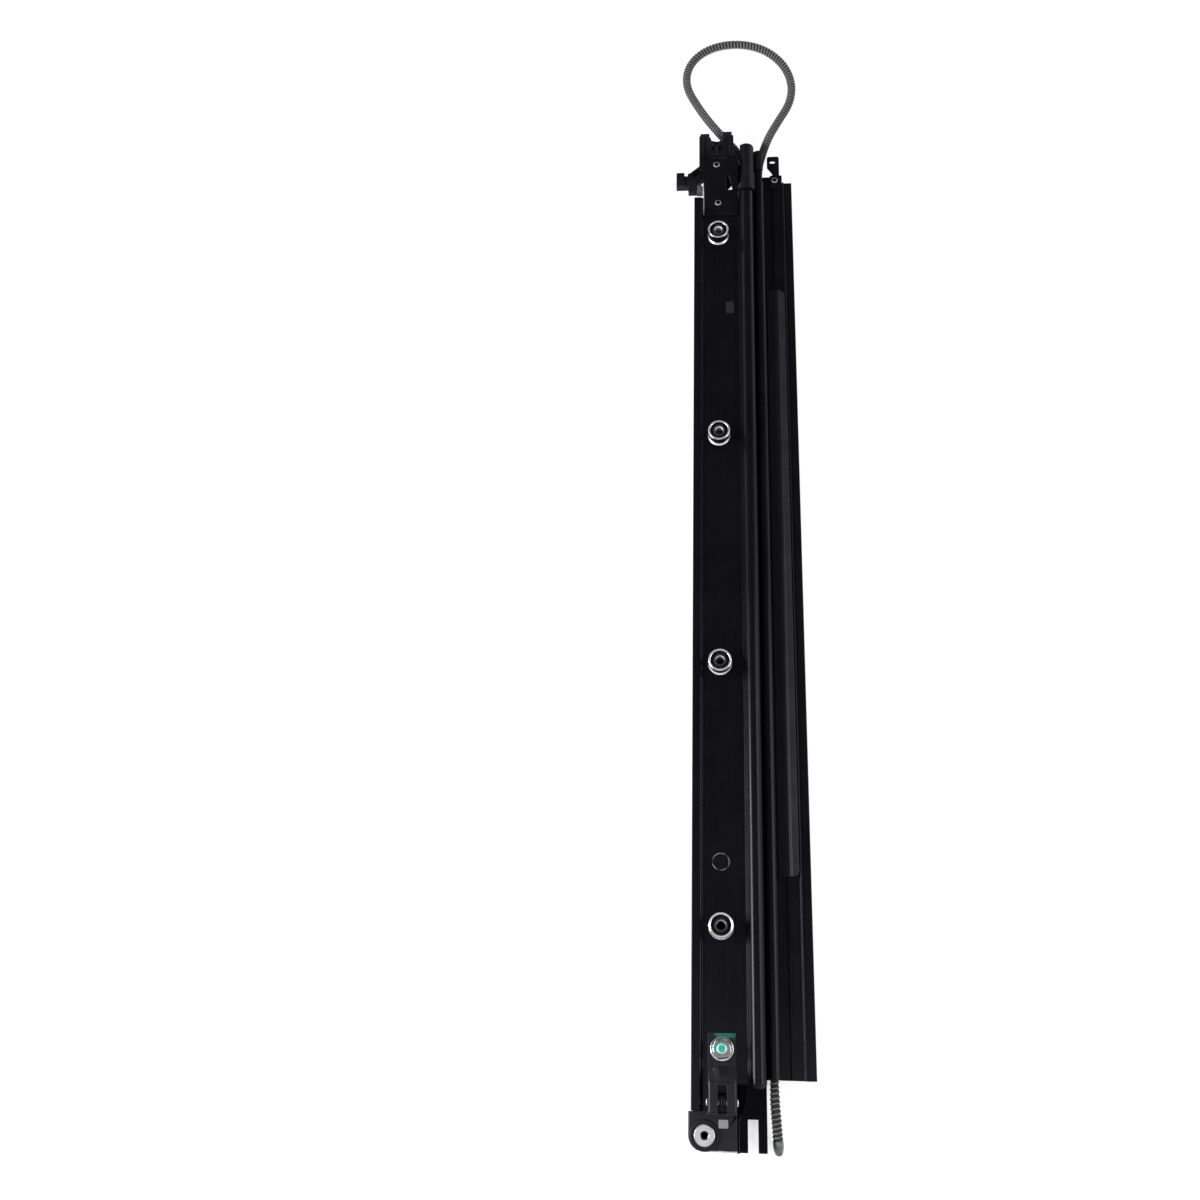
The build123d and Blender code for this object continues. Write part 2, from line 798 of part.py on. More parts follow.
def make_tab_plate():
    """The punched steel tab that is riveted to the trough floor."""
    low = trough_floor + trough_step
    foot_left = tab_right - tab_foot_width
    shoulder = tab_rear + tab_foot_length
    neck_right = tab_right - tab_neck_inset
    neck_left = neck_right - tab_neck_width
    head_left = neck_right - tab_head_width
    head_rear = tab_front - tab_head_length
    plan = outline(
        (foot_left, tab_rear),
        (tab_right, tab_rear),
        (tab_right, shoulder),
        (neck_right, shoulder),
        (neck_right, tab_front),
        (head_left, tab_front),
        (head_left, head_rear),
        (neck_left, head_rear - tab_head_slope),
        (neck_left, shoulder),
        (foot_left, shoulder),
    )
    plan = fillet(plan.vertices().group_by(Axis.Y)[-1], tab_corner_r)
    hole = Pos(neck_right - tab_hole_inset, tab_front - tab_hole_setback)
    plan = plan - hole * Ellipse(tab_hole_width / 2, tab_hole_height / 2)
    plan = plan - Pos(tab_rivet_x, tab_rivet_y) * Circle(rivet_shank_r + fit_gap)
    return upwards(plan, low, low + tab_sheet)


# Front lever

def make_lever():
    """The moulded lever with its knob, arm and stop leg."""
    arm = outline(
        (knob_left, knob_rear),
        (lever_leg_left, knob_rear),
        (lever_leg_left, lever_leg_rear),
        (lever_leg_right, lever_leg_rear),
        (lever_leg_right, knob_rear + 1.0),
        (lever_pivot_x - 1.5, lever_pivot_y - lever_boss_r),
        (lever_pivot_x - 1.5, lever_pivot_y + lever_boss_r),
        (lever_leg_right + 2.3, lever_pivot_y + 3.4),
        (lever_leg_left + 0.9, knob_front),
        (knob_right + knob_notch, knob_front),
        (knob_right + knob_notch, knob_front - knob_notch),
        (knob_right, knob_front - knob_notch),
        (knob_right, knob_front),
        (knob_left, knob_front),
    )
    boss = Pos(lever_pivot_x, lever_pivot_y) * Circle(lever_boss_r)
    bore = Pos(lever_pivot_x, lever_pivot_y) * Circle(lever_pin_r + pivot_clearance)
    lever = upwards(arm + boss - bore, lever_bottom, lever_top)
    knob = upwards(outline(
        (knob_left, knob_rear),
        (knob_right, knob_rear),
        (knob_right, knob_front),
        (knob_left, knob_front),
    ), lever_bottom, lever_top + knob_rise)
    knob = chamfer(knob.edges().group_by(Axis.Z)[-1], 0.7)
    recess = outline(
        (lever_pivot_x - 12.5, lever_pivot_y - 8.0),
        (lever_pivot_x - 5.5, lever_pivot_y - 4.2),
        (lever_pivot_x - 5.5, lever_pivot_y + 1.0),
        (lever_pivot_x - 12.5, lever_pivot_y - 2.4),
    )
    return lever + knob - upwards(recess, lever_top - 1.6, lever_top + 1)


def make_bumper():
    """The white ribbed bumper that is pushed on the lever's leg."""
    left = lever_leg_right
    low = lever_bottom + 0.4
    high = low + bumper_height
    rear = lever_leg_rear - 0.6
    core = block(left, left + bumper_width - bumper_rib, rear, rear + bumper_length, low, high)
    pitch = bumper_length / bumper_ribs
    rib_low = low - bumper_rib / 2
    rib_high = high + bumper_rib / 2
    for index in range(bumper_ribs):
        start = rear + index * pitch
        core = core + block(left, left + bumper_width, start, start + pitch * 0.55, rib_low, rib_high)
    return core


def make_lever_pin():
    """The shouldered pin that hangs from the guide block and carries the lever."""
    head_low = lever_bottom - 0.3 - lever_pin_head
    profile = [
        (0, head_low),
        (lever_pin_head_r - 0.3, head_low),
        (lever_pin_head_r, head_low + 0.3),
        (lever_pin_head_r, head_low + lever_pin_head),
        (lever_pin_r, head_low + lever_pin_head),
        (lever_pin_r, guide_top - 0.6),
        (0, guide_top - 0.6),
    ]
    return turned(profile, lever_pivot_x, lever_pivot_y, 0)


# Rear bracket and what it holds

def hump_solid(inset):
    """The hump's outer form, or its inner form when inset by the sheet."""
    top = flange_top + hump_height - inset
    left = hump_left + inset
    right = hump_right - inset
    corner = hump_corner_r - inset * 0.8
    side = outline(
        (hump_rear + inset, flange_top - 2),
        (hump_rear + inset, top),
        (hump_front_top - inset * 0.4, top),
        (hump_front_foot - inset * 1.3, flange_top + sheet - inset),
        (hump_front_foot - inset * 1.3, flange_top - 2),
    )
    side = fillet(side.vertices().group_by(Axis.Y)[-1], corner)
    front = outline(
        (left, flange_top - 2),
        (left, top),
        (right, top),
        (right, flange_top - 2),
    )
    front = fillet(front.vertices().group_by(Axis.Y)[-1], corner * 0.7)
    taper = 1.6
    plan = outline(
        (left, hump_rear),
        (left, hump_front_top - 4),
        (left + taper, hump_front_foot + 1),
        (right - taper, hump_front_foot + 1),
        (right, hump_front_top - 4),
        (right, hump_rear),
    )
    solid = across(side, left, right) & along(front, hump_rear - 1, hump_front_foot + 2)
    return solid & upwards(plan, flange_top - 3, top + 1)


def end_plate_plan():
    """The end plate's outline, round about the rear bush."""
    corner_r = end_bush_y - end_plate_rear
    straight = outline(
        (end_plate_left, end_bush_y),
        (end_plate_left, end_plate_front),
        (end_plate_right, end_plate_front),
        (end_plate_right, end_plate_rear),
        (end_plate_left + corner_r, end_plate_rear),
        (end_plate_left + corner_r, end_bush_y),
    )
    return straight + Pos(end_plate_left + corner_r, end_bush_y) * Circle(corner_r)


def make_rear_bracket():
    """The pressed bracket: pad under the nut, hump over the roller, plate round the rear bush."""
    base = flange_top
    neck = bar(hump_left, end_plate_front - 1, hump_right, hump_front_foot)
    pad = bar(pad_left, hump_front_foot - 1, pad_right, pad_front)
    plan = end_plate_plan() + neck + pad
    bracket = upwards(plan, base, base + sheet)
    above = block(pad_left - 5, pad_right + 5, 0, pad_front, base, base + hump_height + 2)
    bracket = bracket + (hump_solid(0) & above)
    bracket = bracket - hump_solid(sheet)
    slot_left = (hump_left + hump_right - roller_slot_width) / 2
    slot_low = base + roller_rise
    slot_high = base + hump_height + 1
    slot_right = slot_left + roller_slot_width
    slot_front = hump_rear + roller_slot_length
    bracket = bracket - block(slot_left, slot_right, hump_rear - 1, slot_front, slot_low, slot_high)
    pin_bore_r = roller_pin_r + fit_gap
    bracket = bracket - rod_across(roller_y, base + roller_rise, pin_bore_r, hump_left - 1, hump_right + 1)
    bolt_hole_r = bolt_r + bolt_hole_clearance
    bracket = bracket - post(bracket_bolt_x, bracket_bolt_y, bolt_hole_r, base - 1, base + sheet + 1)
    bush_hole_r = grommet_neck_r + fit_gap
    bracket = bracket - post(end_bush_x, end_bush_y, bush_hole_r, base - 1, base + sheet + 1)
    hole = Pos(square_hole_x, square_hole_y) * Rectangle(square_hole_width, square_hole_length)
    bracket = bracket - upwards(hole, base - 1, base + sheet + 1)
    rear_edge = bracket.edges().filter_by(Axis.X).group_by(Axis.Y)[0].sort_by(Axis.Z)[-1]
    return chamfer(rear_edge, sheet * 0.45)


def make_bolt():
    """The bolt that is pushed up through the flange, its flat head below."""
    top = flange_top + sheet + nut_height + bolt_proud
    profile = [
        (0, flange_under - bolt_head),
        (bolt_head_r - 0.5, flange_under - bolt_head),
        (bolt_head_r, flange_under - bolt_head + 0.5),
        (bolt_head_r, flange_under),
        (bolt_r, flange_under),
        (bolt_r, top - 0.6),
        (bolt_r - 0.6, top),
        (0, top),
    ]
    return turned(profile, bracket_bolt_x, bracket_bolt_y, 0)


def make_nut():
    """The flange nut on the rear bracket's bolt."""
    low = flange_top + sheet
    hexagon = RegularPolygon(nut_across_flats / 2, 6, major_radius=False, rotation=12)
    body = Pos(bracket_bolt_x, bracket_bolt_y, low) * extrude(hexagon, amount=nut_height)
    corner_r = nut_across_flats / 2 / math.cos(math.pi / 6)
    crown = turned([
        (0, 0),
        (nut_flange_r, 0),
        (nut_flange_r, nut_height - corner_r * 0.3),
        (nut_across_flats / 2 - 0.3, nut_height),
        (0, nut_height),
    ], bracket_bolt_x, bracket_bolt_y, low)
    flange = turned([
        (0, 0),
        (nut_flange_r - 0.2, 0),
        (nut_flange_r, nut_flange * 0.4),
        (nut_flange_r - 0.2, nut_flange * 0.8),
        (nut_across_flats / 2, nut_flange * 1.8),
        (0, nut_flange * 1.8),
    ], bracket_bolt_x, bracket_bolt_y, low)
    nut = (body & crown) + flange
    return nut - post(bracket_bolt_x, bracket_bolt_y, bolt_r + thread_gap, low - 1, low + nut_height + 1)


def make_roller():
    """The grooved roller in the hump."""
    z = flange_top + roller_rise
    middle = (hump_left + hump_right) / 2
    half = roller_width / 2
    bore = roller_pin_r + roller_bore_clearance
    groove = 0.5
    profile = [
        (bore, -half),
        (roller_r - 0.4, -half),
        (roller_r, -half + 0.4),
        (roller_r, -half * 0.55),
        (roller_r - groove, -half * 0.4),
        (roller_r, -half * 0.2),
        (roller_r, half * 0.2),
        (roller_r - groove, half * 0.4),
        (roller_r, half * 0.55),
        (roller_r, half - 0.4),
        (roller_r - 0.4, half),
        (bore, half),
    ]
    wheel = revolve(Plane.XZ * outline(*profile), Axis.Z)
    return Pos(middle, roller_y, z) * Rot(0, 90, 0) * wheel


def make_roller_pin():
    """The cross pin, headed at both ends outside the hump's walls."""
    z = flange_top + roller_rise
    shank = rod_across(roller_y, z, roller_pin_r, hump_left, hump_right)
    left_head = rod_across(roller_y, z, roller_pin_head_r, hump_left - roller_pin_head, hump_left)
    right_head = rod_across(roller_y, z, roller_pin_head_r, hump_right, hump_right + roller_pin_head)
    pin = shank + left_head + right_head
    ends = pin.edges().filter_by(GeomType.CIRCLE).sort_by(Axis.X)
    return chamfer([ends[0], ends[-1]], 0.4)


def make_grommet():
    """The rubber grommet that grips the end plate."""
    above = sheet + grommet_above
    profile = [
        (grommet_bore_r, -grommet_below),
        (grommet_r - 0.6, -grommet_below),
        (grommet_r, -grommet_below + 0.6),
        (grommet_r, -fit_gap),
        (grommet_neck_r, -fit_gap),
        (grommet_neck_r, sheet + fit_gap),
        (grommet_r, sheet + fit_gap),
        (grommet_r, above - 0.7),
        (grommet_r - 0.7, above),
        (grommet_bore_r, above),
    ]
    return turned(profile, end_bush_x, end_bush_y, flange_top)


def make_end_sleeve():
    """The flanged sleeve in the rear grommet."""
    top = sheet + grommet_above + fit_gap
    outer = grommet_bore_r - fit_gap
    high = top + end_sleeve_flange
    profile = [
        (end_sleeve_bore_r, -grommet_below),
        (outer, -grommet_below),
        (outer, top),
        (end_sleeve_flange_r, top),
        (end_sleeve_flange_r, high - 0.4),
        (end_sleeve_flange_r - 0.4, high),
        (end_sleeve_bore_r + edge_chamfer, high),
        (end_sleeve_bore_r, high - edge_chamfer),
    ]
    return turned(profile, end_bush_x, end_bush_y, flange_top)


# Carriage

def shoe_places():
    """Side and rear end of each guide shoe."""
    rear = carriage_plate_rear + shoe_end_margin
    front = carriage_front - shoe_end_margin - shoe_length
    return [("left", rear), ("left", front), ("right", rear + 26.0), ("right", front)]


def tongue_span(side):
    """Inner and outer X of a tongue that holds a shoe."""
    if side == "left":
        return carriage_plate_left - tongue_reach, carriage_plate_left
    return carriage_plate_right, carriage_plate_right + tongue_reach


def make_carriage():
    """The moulded carriage: a fork behind, a drive bar and a plate with tongues for its shoes."""
    bar_solid = block(fork_left, fork_right, carriage_rear, fork_bar_front, carriage_bottom, fork_top)
    shoulder = outline(
        (fork_left - 1, fork_slot_root - 4),
        (fork_left + 3.6, fork_slot_root + 9),
        (fork_left + 3.6, carriage_plate_rear - 3),
        (fork_left - 1, carriage_plate_rear - 3),
    )
    plate_right = carriage_plate_right
    plate = block(carriage_plate_left, plate_right, carriage_plate_rear, carriage_front, carriage_bottom, carriage_plate_top)
    carriage = bar_solid + plate
    for index in range(3):
        start = carriage_plate_rear + 28.0 + index * 27.0
        pocket = block(carriage_plate_left + 3, fork_left - 2, start, start + 20.0, carriage_bottom + 2, carriage_plate_top + 1)
        carriage = carriage - pocket
    for side, rear in shoe_places():
        x_low, x_high = tongue_span(side)
        notch_low = x_low - 3 if side == "left" else x_low
        notch_high = x_high if side == "left" else x_high + 4
        room = block(notch_low, notch_high, rear - shoe_gap, rear + shoe_length + shoe_gap, 0, fork_top + 1)
        carriage = carriage - room
        tongue = block(x_low, x_high, rear + 2, rear + shoe_length - 2, tongue_bottom, tongue_top)
        carriage = carriage + tongue
    slot_left = fork_slot_middle - fork_slot_width / 2
    slot_right = fork_slot_middle + fork_slot_width / 2
    fork_slot = block(slot_left, slot_right, carriage_rear - 1, fork_slot_root, 0, fork_top + 1)
    slope = across(outline(
        (carriage_rear - 1, fork_top - 2.2),
        (carriage_rear + 2.2, fork_top + 1),
        (carriage_rear - 1, fork_top + 1),
    ), fork_left - 1, fork_right + 1)
    carriage = carriage - fork_slot - slope - upwards(shoulder, carriage_plate_top - 3, fork_top + 1)
    foot_left = drive_tube_x - driver_foot_width / 2
    foot_right = drive_tube_x + driver_foot_width / 2
    seat_low = fork_top - driver_foot
    seat = block(foot_left, foot_right, driver_rear, driver_rear + driver_length, seat_low, fork_top + 1)
    return carriage - seat


def make_shoe(side, rear):
    """A sliding shoe that is clipped over one of the carriage's tongues."""
    x_low, x_high = tongue_span(side)
    if side == "left":
        low_x = rail_wall + shoe_gap
        high_x = carriage_plate_left - fit_gap
        top = shoe_left_top
    else:
        low_x = carriage_plate_right + fit_gap
        high_x = middle_leg_left - shoe_gap
        top = web_top - web_thickness - 2 * shoe_gap
    low = lip_thickness + 0.15
    shoe = block(low_x, high_x, rear, rear + shoe_length, low, top)
    shoe = chamfer(shoe.edges().filter_by(Axis.Z), 0.8)
    tongue_hole = block(
        x_low - fit_gap, x_high + fit_gap,
        rear + 2 - fit_gap, rear + shoe_length - 2 + fit_gap,
        tongue_bottom - fit_gap, tongue_top + fit_gap,
    )
    relief_low = rear + shoe_length * 0.3
    relief_high = rear + shoe_length * 0.7
    relief = block(low_x - 1, high_x + 1, relief_low, relief_high, top - 1.2, top + 1)
    return shoe - tongue_hole - relief


def make_driver():
    """The steel driver whose toothed blade reaches up through the slot to the cable."""
    foot_left = drive_tube_x - driver_foot_width / 2
    foot_right = drive_tube_x + driver_foot_width / 2
    foot = block(foot_left, foot_right, driver_rear, driver_rear + driver_length, fork_top - driver_foot, fork_top)
    half = drive_slot_width / 2 - driver_blade_gap
    blade_top = drive_tube_z - cable_r - driver_blade_gap
    blade = block(drive_tube_x - half, drive_tube_x + half, driver_rear, driver_rear + driver_length, fork_top - 0.1, blade_top)
    count = int(driver_length / driver_tooth_pitch)
    for index in range(count):
        start = driver_rear + (index + 0.3) * driver_tooth_pitch
        gap = block(foot_left, foot_right, start, start + driver_tooth_pitch * 0.4, blade_top - driver_tooth_depth, blade_top + 1)
        blade = blade - gap
    return foot + blade


def make_tube_plug():
    """The domed plug in the rear end of the drive tube."""
    stem_r = cable_bore_r - fit_gap
    profile = [
        (0, -tube_plug_head),
        (tube_plug_head_r * 0.55, -tube_plug_head * 0.9),
        (tube_plug_head_r * 0.88, -tube_plug_head * 0.55),
        (tube_plug_head_r, 0),
        (stem_r, 0),
        (stem_r, tube_plug_stem),
        (0, tube_plug_stem),
    ]
    plug = revolve(Plane.XZ * outline(*profile), Axis.Z)
    return Pos(drive_tube_x, drive_tube_rear, drive_tube_z) * Rot(-90, 0, 0) * plug


# Drive cable

def corner_radii(route):
    """The largest tangent arc at each inner point of a route."""
    points = [Vector(*point) for point in route]
    radii = []
    for before, here, after in zip(points, points[1:], points[2:]):
        turn = math.radians((here - before).get_angle(after - here))
        shorter = min((here - before).length, (after - here).length)
        radii.append(0.45 * shorter / math.tan(turn / 2))
    return radii


def make_cord(route, label):
    """A plain tube along straight runs joined by tangent arcs."""
    radii = corner_radii(route)
    print(label, "radii", [round(radius, 1) for radius in radii])
    path = FilletPolyline(*route, radius=radii)
    start = Plane(origin=path @ 0, z_dir=path % 0)
    tube = sweep(start * Circle(cable_r), path=path)
    expected = math.pi * cable_r ** 2 * path.length
    print(label, "length", round(path.length, 1), "volume over section times length", round(tube.volume / expected, 4))
    return tube


def make_ferrule():
    """The tapered tip that is crimped on the cable's tail."""
    end = Vector(*tail_route[-1])
    heading = (end - Vector(*tail_route[-2])).normalized()
    profile = [
        (0, 0),
        (cable_r, 0),
        (cable_r, ferrule_length * 0.45),
        (ferrule_tip_r + 0.25, ferrule_length * 0.86),
        (ferrule_tip_r - 0.5, ferrule_length),
        (0, ferrule_length),
    ]
    return Plane(origin=end, z_dir=heading) * revolve(Plane.XZ * outline(*profile), Axis.Z)


# All pieces, by name

pieces = {"guide_rail": make_rail()}
for number, y in enumerate(bush_ys, start=1):
    pieces[f"bush_collar_{number}"] = make_bush_collar(bush_x, y)
    pieces[f"bush_rubber_{number}"] = make_bush_rubber(bush_x, y)
    pieces[f"bush_sleeve_{number}"] = make_bush_sleeve(bush_x, y)
pieces["hole_plug"] = make_hole_plug()
pieces["runner_strip"] = make_runner()
pieces["front_bracket"] = make_front_bracket()
pieces["rail_rivet"] = make_rivet(rail_rivet_x, rail_rivet_y, flange_under, pad_top)
pieces["guide_rivet"] = make_rivet(guide_rivet_x, guide_rivet_y, guide_top - guide_slab, guide_top + sheet)
pieces["cable_guide_block"] = make_cable_guide()
pieces["tube_hood"] = make_hood()
pieces["tab_plate"] = make_tab_plate()
tab_top = trough_floor + trough_step + tab_sheet
pieces["tab_rivet"] = make_rivet(tab_rivet_x, tab_rivet_y, trough_under, tab_top)
pieces["front_lever"] = make_lever()
pieces["lever_bumper"] = make_bumper()
pieces["lever_pin"] = make_lever_pin()
pieces["rear_bracket"] = make_rear_bracket()
pieces["bracket_bolt"] = make_bolt()
pieces["bracket_nut"] = make_nut()
pieces["hump_roller"] = make_roller()
pieces["roller_pin"] = make_roller_pin()
pieces["rear_grommet"] = make_grommet()
pieces["rear_sleeve"] = make_end_sleeve()
pieces["carriage_body"] = make_carriage()
pieces["cable_driver"] = make_driver()
for number, (side, rear) in enumerate(shoe_places(), start=1):
    pieces[f"guide_shoe_{number}"] = make_shoe(side, rear)
pieces["drive_tube_plug"] = make_tube_plug()
drive_run_rear = drive_tube_rear + tube_plug_stem
pieces["drive_cable_run"] = rod_along(drive_tube_x, drive_tube_z, cable_r, drive_run_rear, drive_tube_front)
pieces["return_cable_run"] = rod_along(return_tube_x, return_tube_z, cable_r, return_tube_rear, return_side_front)
cord_pieces = {
    "cable_loop": make_cord(loop_route, "cable_loop"),
    "cable_tail": make_cord(tail_route, "cable_tail"),
    "cable_ferrule": make_ferrule(),
}

# The origin goes under the middle of the rigid pieces' box

boxes = [piece.bounding_box() for piece in pieces.values()]
origin = Vector(
    (min(box.min.X for box in boxes) + max(box.max.X for box in boxes)) / 2,
    (min(box.min.Y for box in boxes) + max(box.max.Y for box in boxes)) / 2,
    min(box.min.Z for box in boxes),
)
print("origin in track coordinates", round(origin.X, 4), round(origin.Y, 4), round(origin.Z, 4))
os.makedirs("parts", exist_ok=True)
for name, piece in {**pieces, **cord_pieces}.items():
    export_step(Pos(-origin.X, -origin.Y, -origin.Z) * piece, f"parts/{name}.step")
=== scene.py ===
"""Looks for the sunroof track: detailed pieces, finishes, cables and a plain studio round the CAD frame."""

import logging
import math
from dataclasses import dataclass
from enum import Enum
from typing import Callable

import bpy
from mathutils import Matrix, Vector


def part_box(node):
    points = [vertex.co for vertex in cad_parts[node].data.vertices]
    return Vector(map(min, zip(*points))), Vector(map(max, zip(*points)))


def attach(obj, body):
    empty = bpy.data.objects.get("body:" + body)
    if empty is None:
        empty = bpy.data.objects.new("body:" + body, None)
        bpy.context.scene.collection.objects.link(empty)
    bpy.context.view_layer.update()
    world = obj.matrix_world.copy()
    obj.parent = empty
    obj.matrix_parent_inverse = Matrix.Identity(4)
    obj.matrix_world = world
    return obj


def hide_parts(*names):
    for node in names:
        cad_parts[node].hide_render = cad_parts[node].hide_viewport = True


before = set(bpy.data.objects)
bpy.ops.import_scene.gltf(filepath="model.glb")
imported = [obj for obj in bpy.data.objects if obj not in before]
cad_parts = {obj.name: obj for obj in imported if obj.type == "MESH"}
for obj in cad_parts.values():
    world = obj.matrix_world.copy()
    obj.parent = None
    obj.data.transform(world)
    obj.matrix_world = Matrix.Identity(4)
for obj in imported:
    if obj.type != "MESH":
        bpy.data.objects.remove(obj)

MM = 0.001
TRACK_ORIGIN = (29.3, 352.5, 0.0)
FLANGE_TOP = 18.0
PHOTO_WIDTH = 1200
BEVEL_FROM = math.radians(28)
FOLD_FROM = math.radians(25)
SMOOTH_BELOW = math.radians(40)
SAME_PLANE = math.radians(0.6)
WIRE_RADIUS, WIRE_SIDES = 0.42, 20
WELD_BELOW = 2e-6

Triple = tuple[float, float, float]
Span = tuple[float, float]
Profile = list[Span]
Piece = bpy.types.Object
Node = bpy.types.Node
Socket = bpy.types.NodeSocket
Tree = bpy.types.NodeTree
Material = bpy.types.Material

logging.basicConfig(level=logging.INFO, format="%(message)s")
log = logging.getLogger("sunroof_track")


class Body(Enum):
    """The CAD bodies that pieces ride on."""

    TRACK = "track"
    CARRIAGE = "carriage"
    ROLLER = "roller"
    LEVER = "lever"


class Slot(Enum):
    """The record's material slots."""

    RAIL = "anodised_aluminium"
    BLACK_STEEL = "black_steel"
    ZINC = "zinc_steel"
    TEAL = "teal_paint"
    RUBBER = "rubber"
    BLACK_PLASTIC = "black_plastic"
    GREY_PLASTIC = "grey_plastic"
    WHITE_PLASTIC = "white_plastic"
    FLOCK = "flocked_cable"
    FERRULE = "ferrule_green"


# Places and small mesh helpers. Places are in track millimetres: from the rail's left edge, its rear end and the floor.


def spot(across: float, along: float, up: float) -> Vector:
    """A place in the row frame, in metres."""
    return Vector([value - start for value, start in zip((across, along, up), TRACK_ORIGIN)]) * MM


def placed(name: str, data: bpy.types.ID) -> Piece:
    """A new object of the scene.

    Args:
        name: Its name.
        data: Its mesh, curve, camera or lamp.

    Returns:
        The object.
    """
    piece = bpy.data.objects.new(name, data)
    bpy.context.scene.collection.objects.link(piece)
    return piece


def tune(thing: object, **settings: object) -> None:
    """Sets properties by name."""
    for key, value in settings.items():
        setattr(thing, key, value)


def clear_selection() -> None:
    """Leaves object mode with nothing selected."""
    if bpy.context.object and bpy.context.object.mode != "OBJECT":
        bpy.ops.object.mode_set(mode="OBJECT")
    bpy.ops.object.select_all(action="DESELECT")


def pick(piece: Piece) -> None:
    """Makes one piece the only selected and the active one.

    Args:
        piece: The piece.
    """
    clear_selection()
    piece.select_set(True)
    bpy.context.view_layer.objects.active = piece


def settle(piece: Piece) -> None:
    """Puts the piece's place into its mesh, so that its object sits at the origin."""
    pick(piece)
    bpy.ops.object.transform_apply(location=True, rotation=True, scale=True)


def modify(piece: Piece, kind: str, **settings: object) -> None:
    """Applies one modifier to the active piece.

    Args:
        piece: The piece.
        kind: The modifier's type.
        **settings: Its properties.
    """
    modifier = piece.modifiers.new(kind.lower(), kind)
    tune(modifier, **settings)
    bpy.ops.object.modifier_apply(modifier=modifier.name)


def soften(piece: Piece, width: float, segments: int = 2) -> Piece:
    """Rounds the piece's edges and keeps its flat faces flat in shade.

    Args:
        piece: The mesh to round.
        width: Width of the rounding, in millimetres.
        segments: Facets across one rounding.

    Returns:
        The piece.
    """
    pick(piece)
    bpy.ops.object.shade_smooth()
    modify(
        piece, "BEVEL", width=width * MM, segments=segments, limit_method="ANGLE", angle_limit=BEVEL_FROM,
        use_clamp_overlap=False, miter_outer="MITER_ARC" if segments > 2 else "MITER_SHARP",
    )
    bpy.ops.object.shade_smooth_by_angle(angle=SMOOTH_BELOW)
    modify(piece, "WEIGHTED_NORMAL", mode="FACE_AREA", weight=90, keep_sharp=True)
    return piece


def solid(name: str, start: Triple, end: Triple, wire: bool = False) -> Piece:
    """Makes a plain block between two corners, or a thin round wire between two ends.

    Args:
        name: Its name.
        start: One corner or end.
        end: The other one.
        wire: True for a wire.

    Returns:
        The solid.
    """
    clear_selection()
    near, far = spot(*start), spot(*end)
    way, middle = far - near, (near + far) / 2
    if wire:
        turn = way.to_track_quat("Z", "Y").to_euler()
        bpy.ops.mesh.primitive_cylinder_add(
            vertices=WIRE_SIDES, radius=WIRE_RADIUS * MM, depth=way.length, location=middle, rotation=turn
        )
    else:
        bpy.ops.mesh.primitive_cube_add(size=1.0, location=middle)
        bpy.context.object.scale = way
    piece = bpy.context.object
    piece.name = name
    settle(piece)
    if wire:
        bpy.ops.object.shade_smooth_by_angle(angle=SMOOTH_BELOW)
    return piece


def joined(piece: Piece, *others: Piece) -> Piece:
    """Joins moulded or pressed details into their piece.

    Args:
        piece: The piece that stays.
        *others: The details.

    Returns:
        The piece.
    """
    pick(piece)
    for other in others:
        other.select_set(True)
    bpy.ops.object.join()
    return piece


def carved(piece: Piece, cutter: Piece) -> Piece:
    """Cuts one solid out of a piece.

    Args:
        piece: The piece.
        cutter: What is cut out; it is removed afterwards.

    Returns:
        The piece.
    """
    pick(piece)
    modify(piece, "BOOLEAN", operation="DIFFERENCE", solver="EXACT", object=cutter)
    bpy.data.objects.remove(cutter)
    return piece


def mark(mesh: bpy.types.Mesh, name: str, values: list[float]) -> None:
    """Stores one value for each point in a mesh attribute."""
    mesh.attributes.new(name, "FLOAT", "POINT").data.foreach_set("value", values)


def mark_shaded_bore(piece: Piece, radius: float, middle: Vector = Vector((0.0, 0.0, 0.0)), skirt: float = math.inf) -> None:
    """Marks the points of a round piece's bore, and of its skirt, in the attribute "bore", where the finish paints
    shade.

    Args:
        piece: The piece, with its axis upright.
        radius: The radius within which a point is in the bore, in millimetres.
        middle: A point of the axis, in metres.
        skirt: The radius beyond which a point is on the skirt, in millimetres.
    """
    distances = [math.hypot(vertex.co.x - middle.x, vertex.co.y - middle.y) / MM for vertex in piece.data.vertices]
    mark(piece.data, "bore", [0.0 if radius <= distance <= skirt else 1.0 for distance in distances])


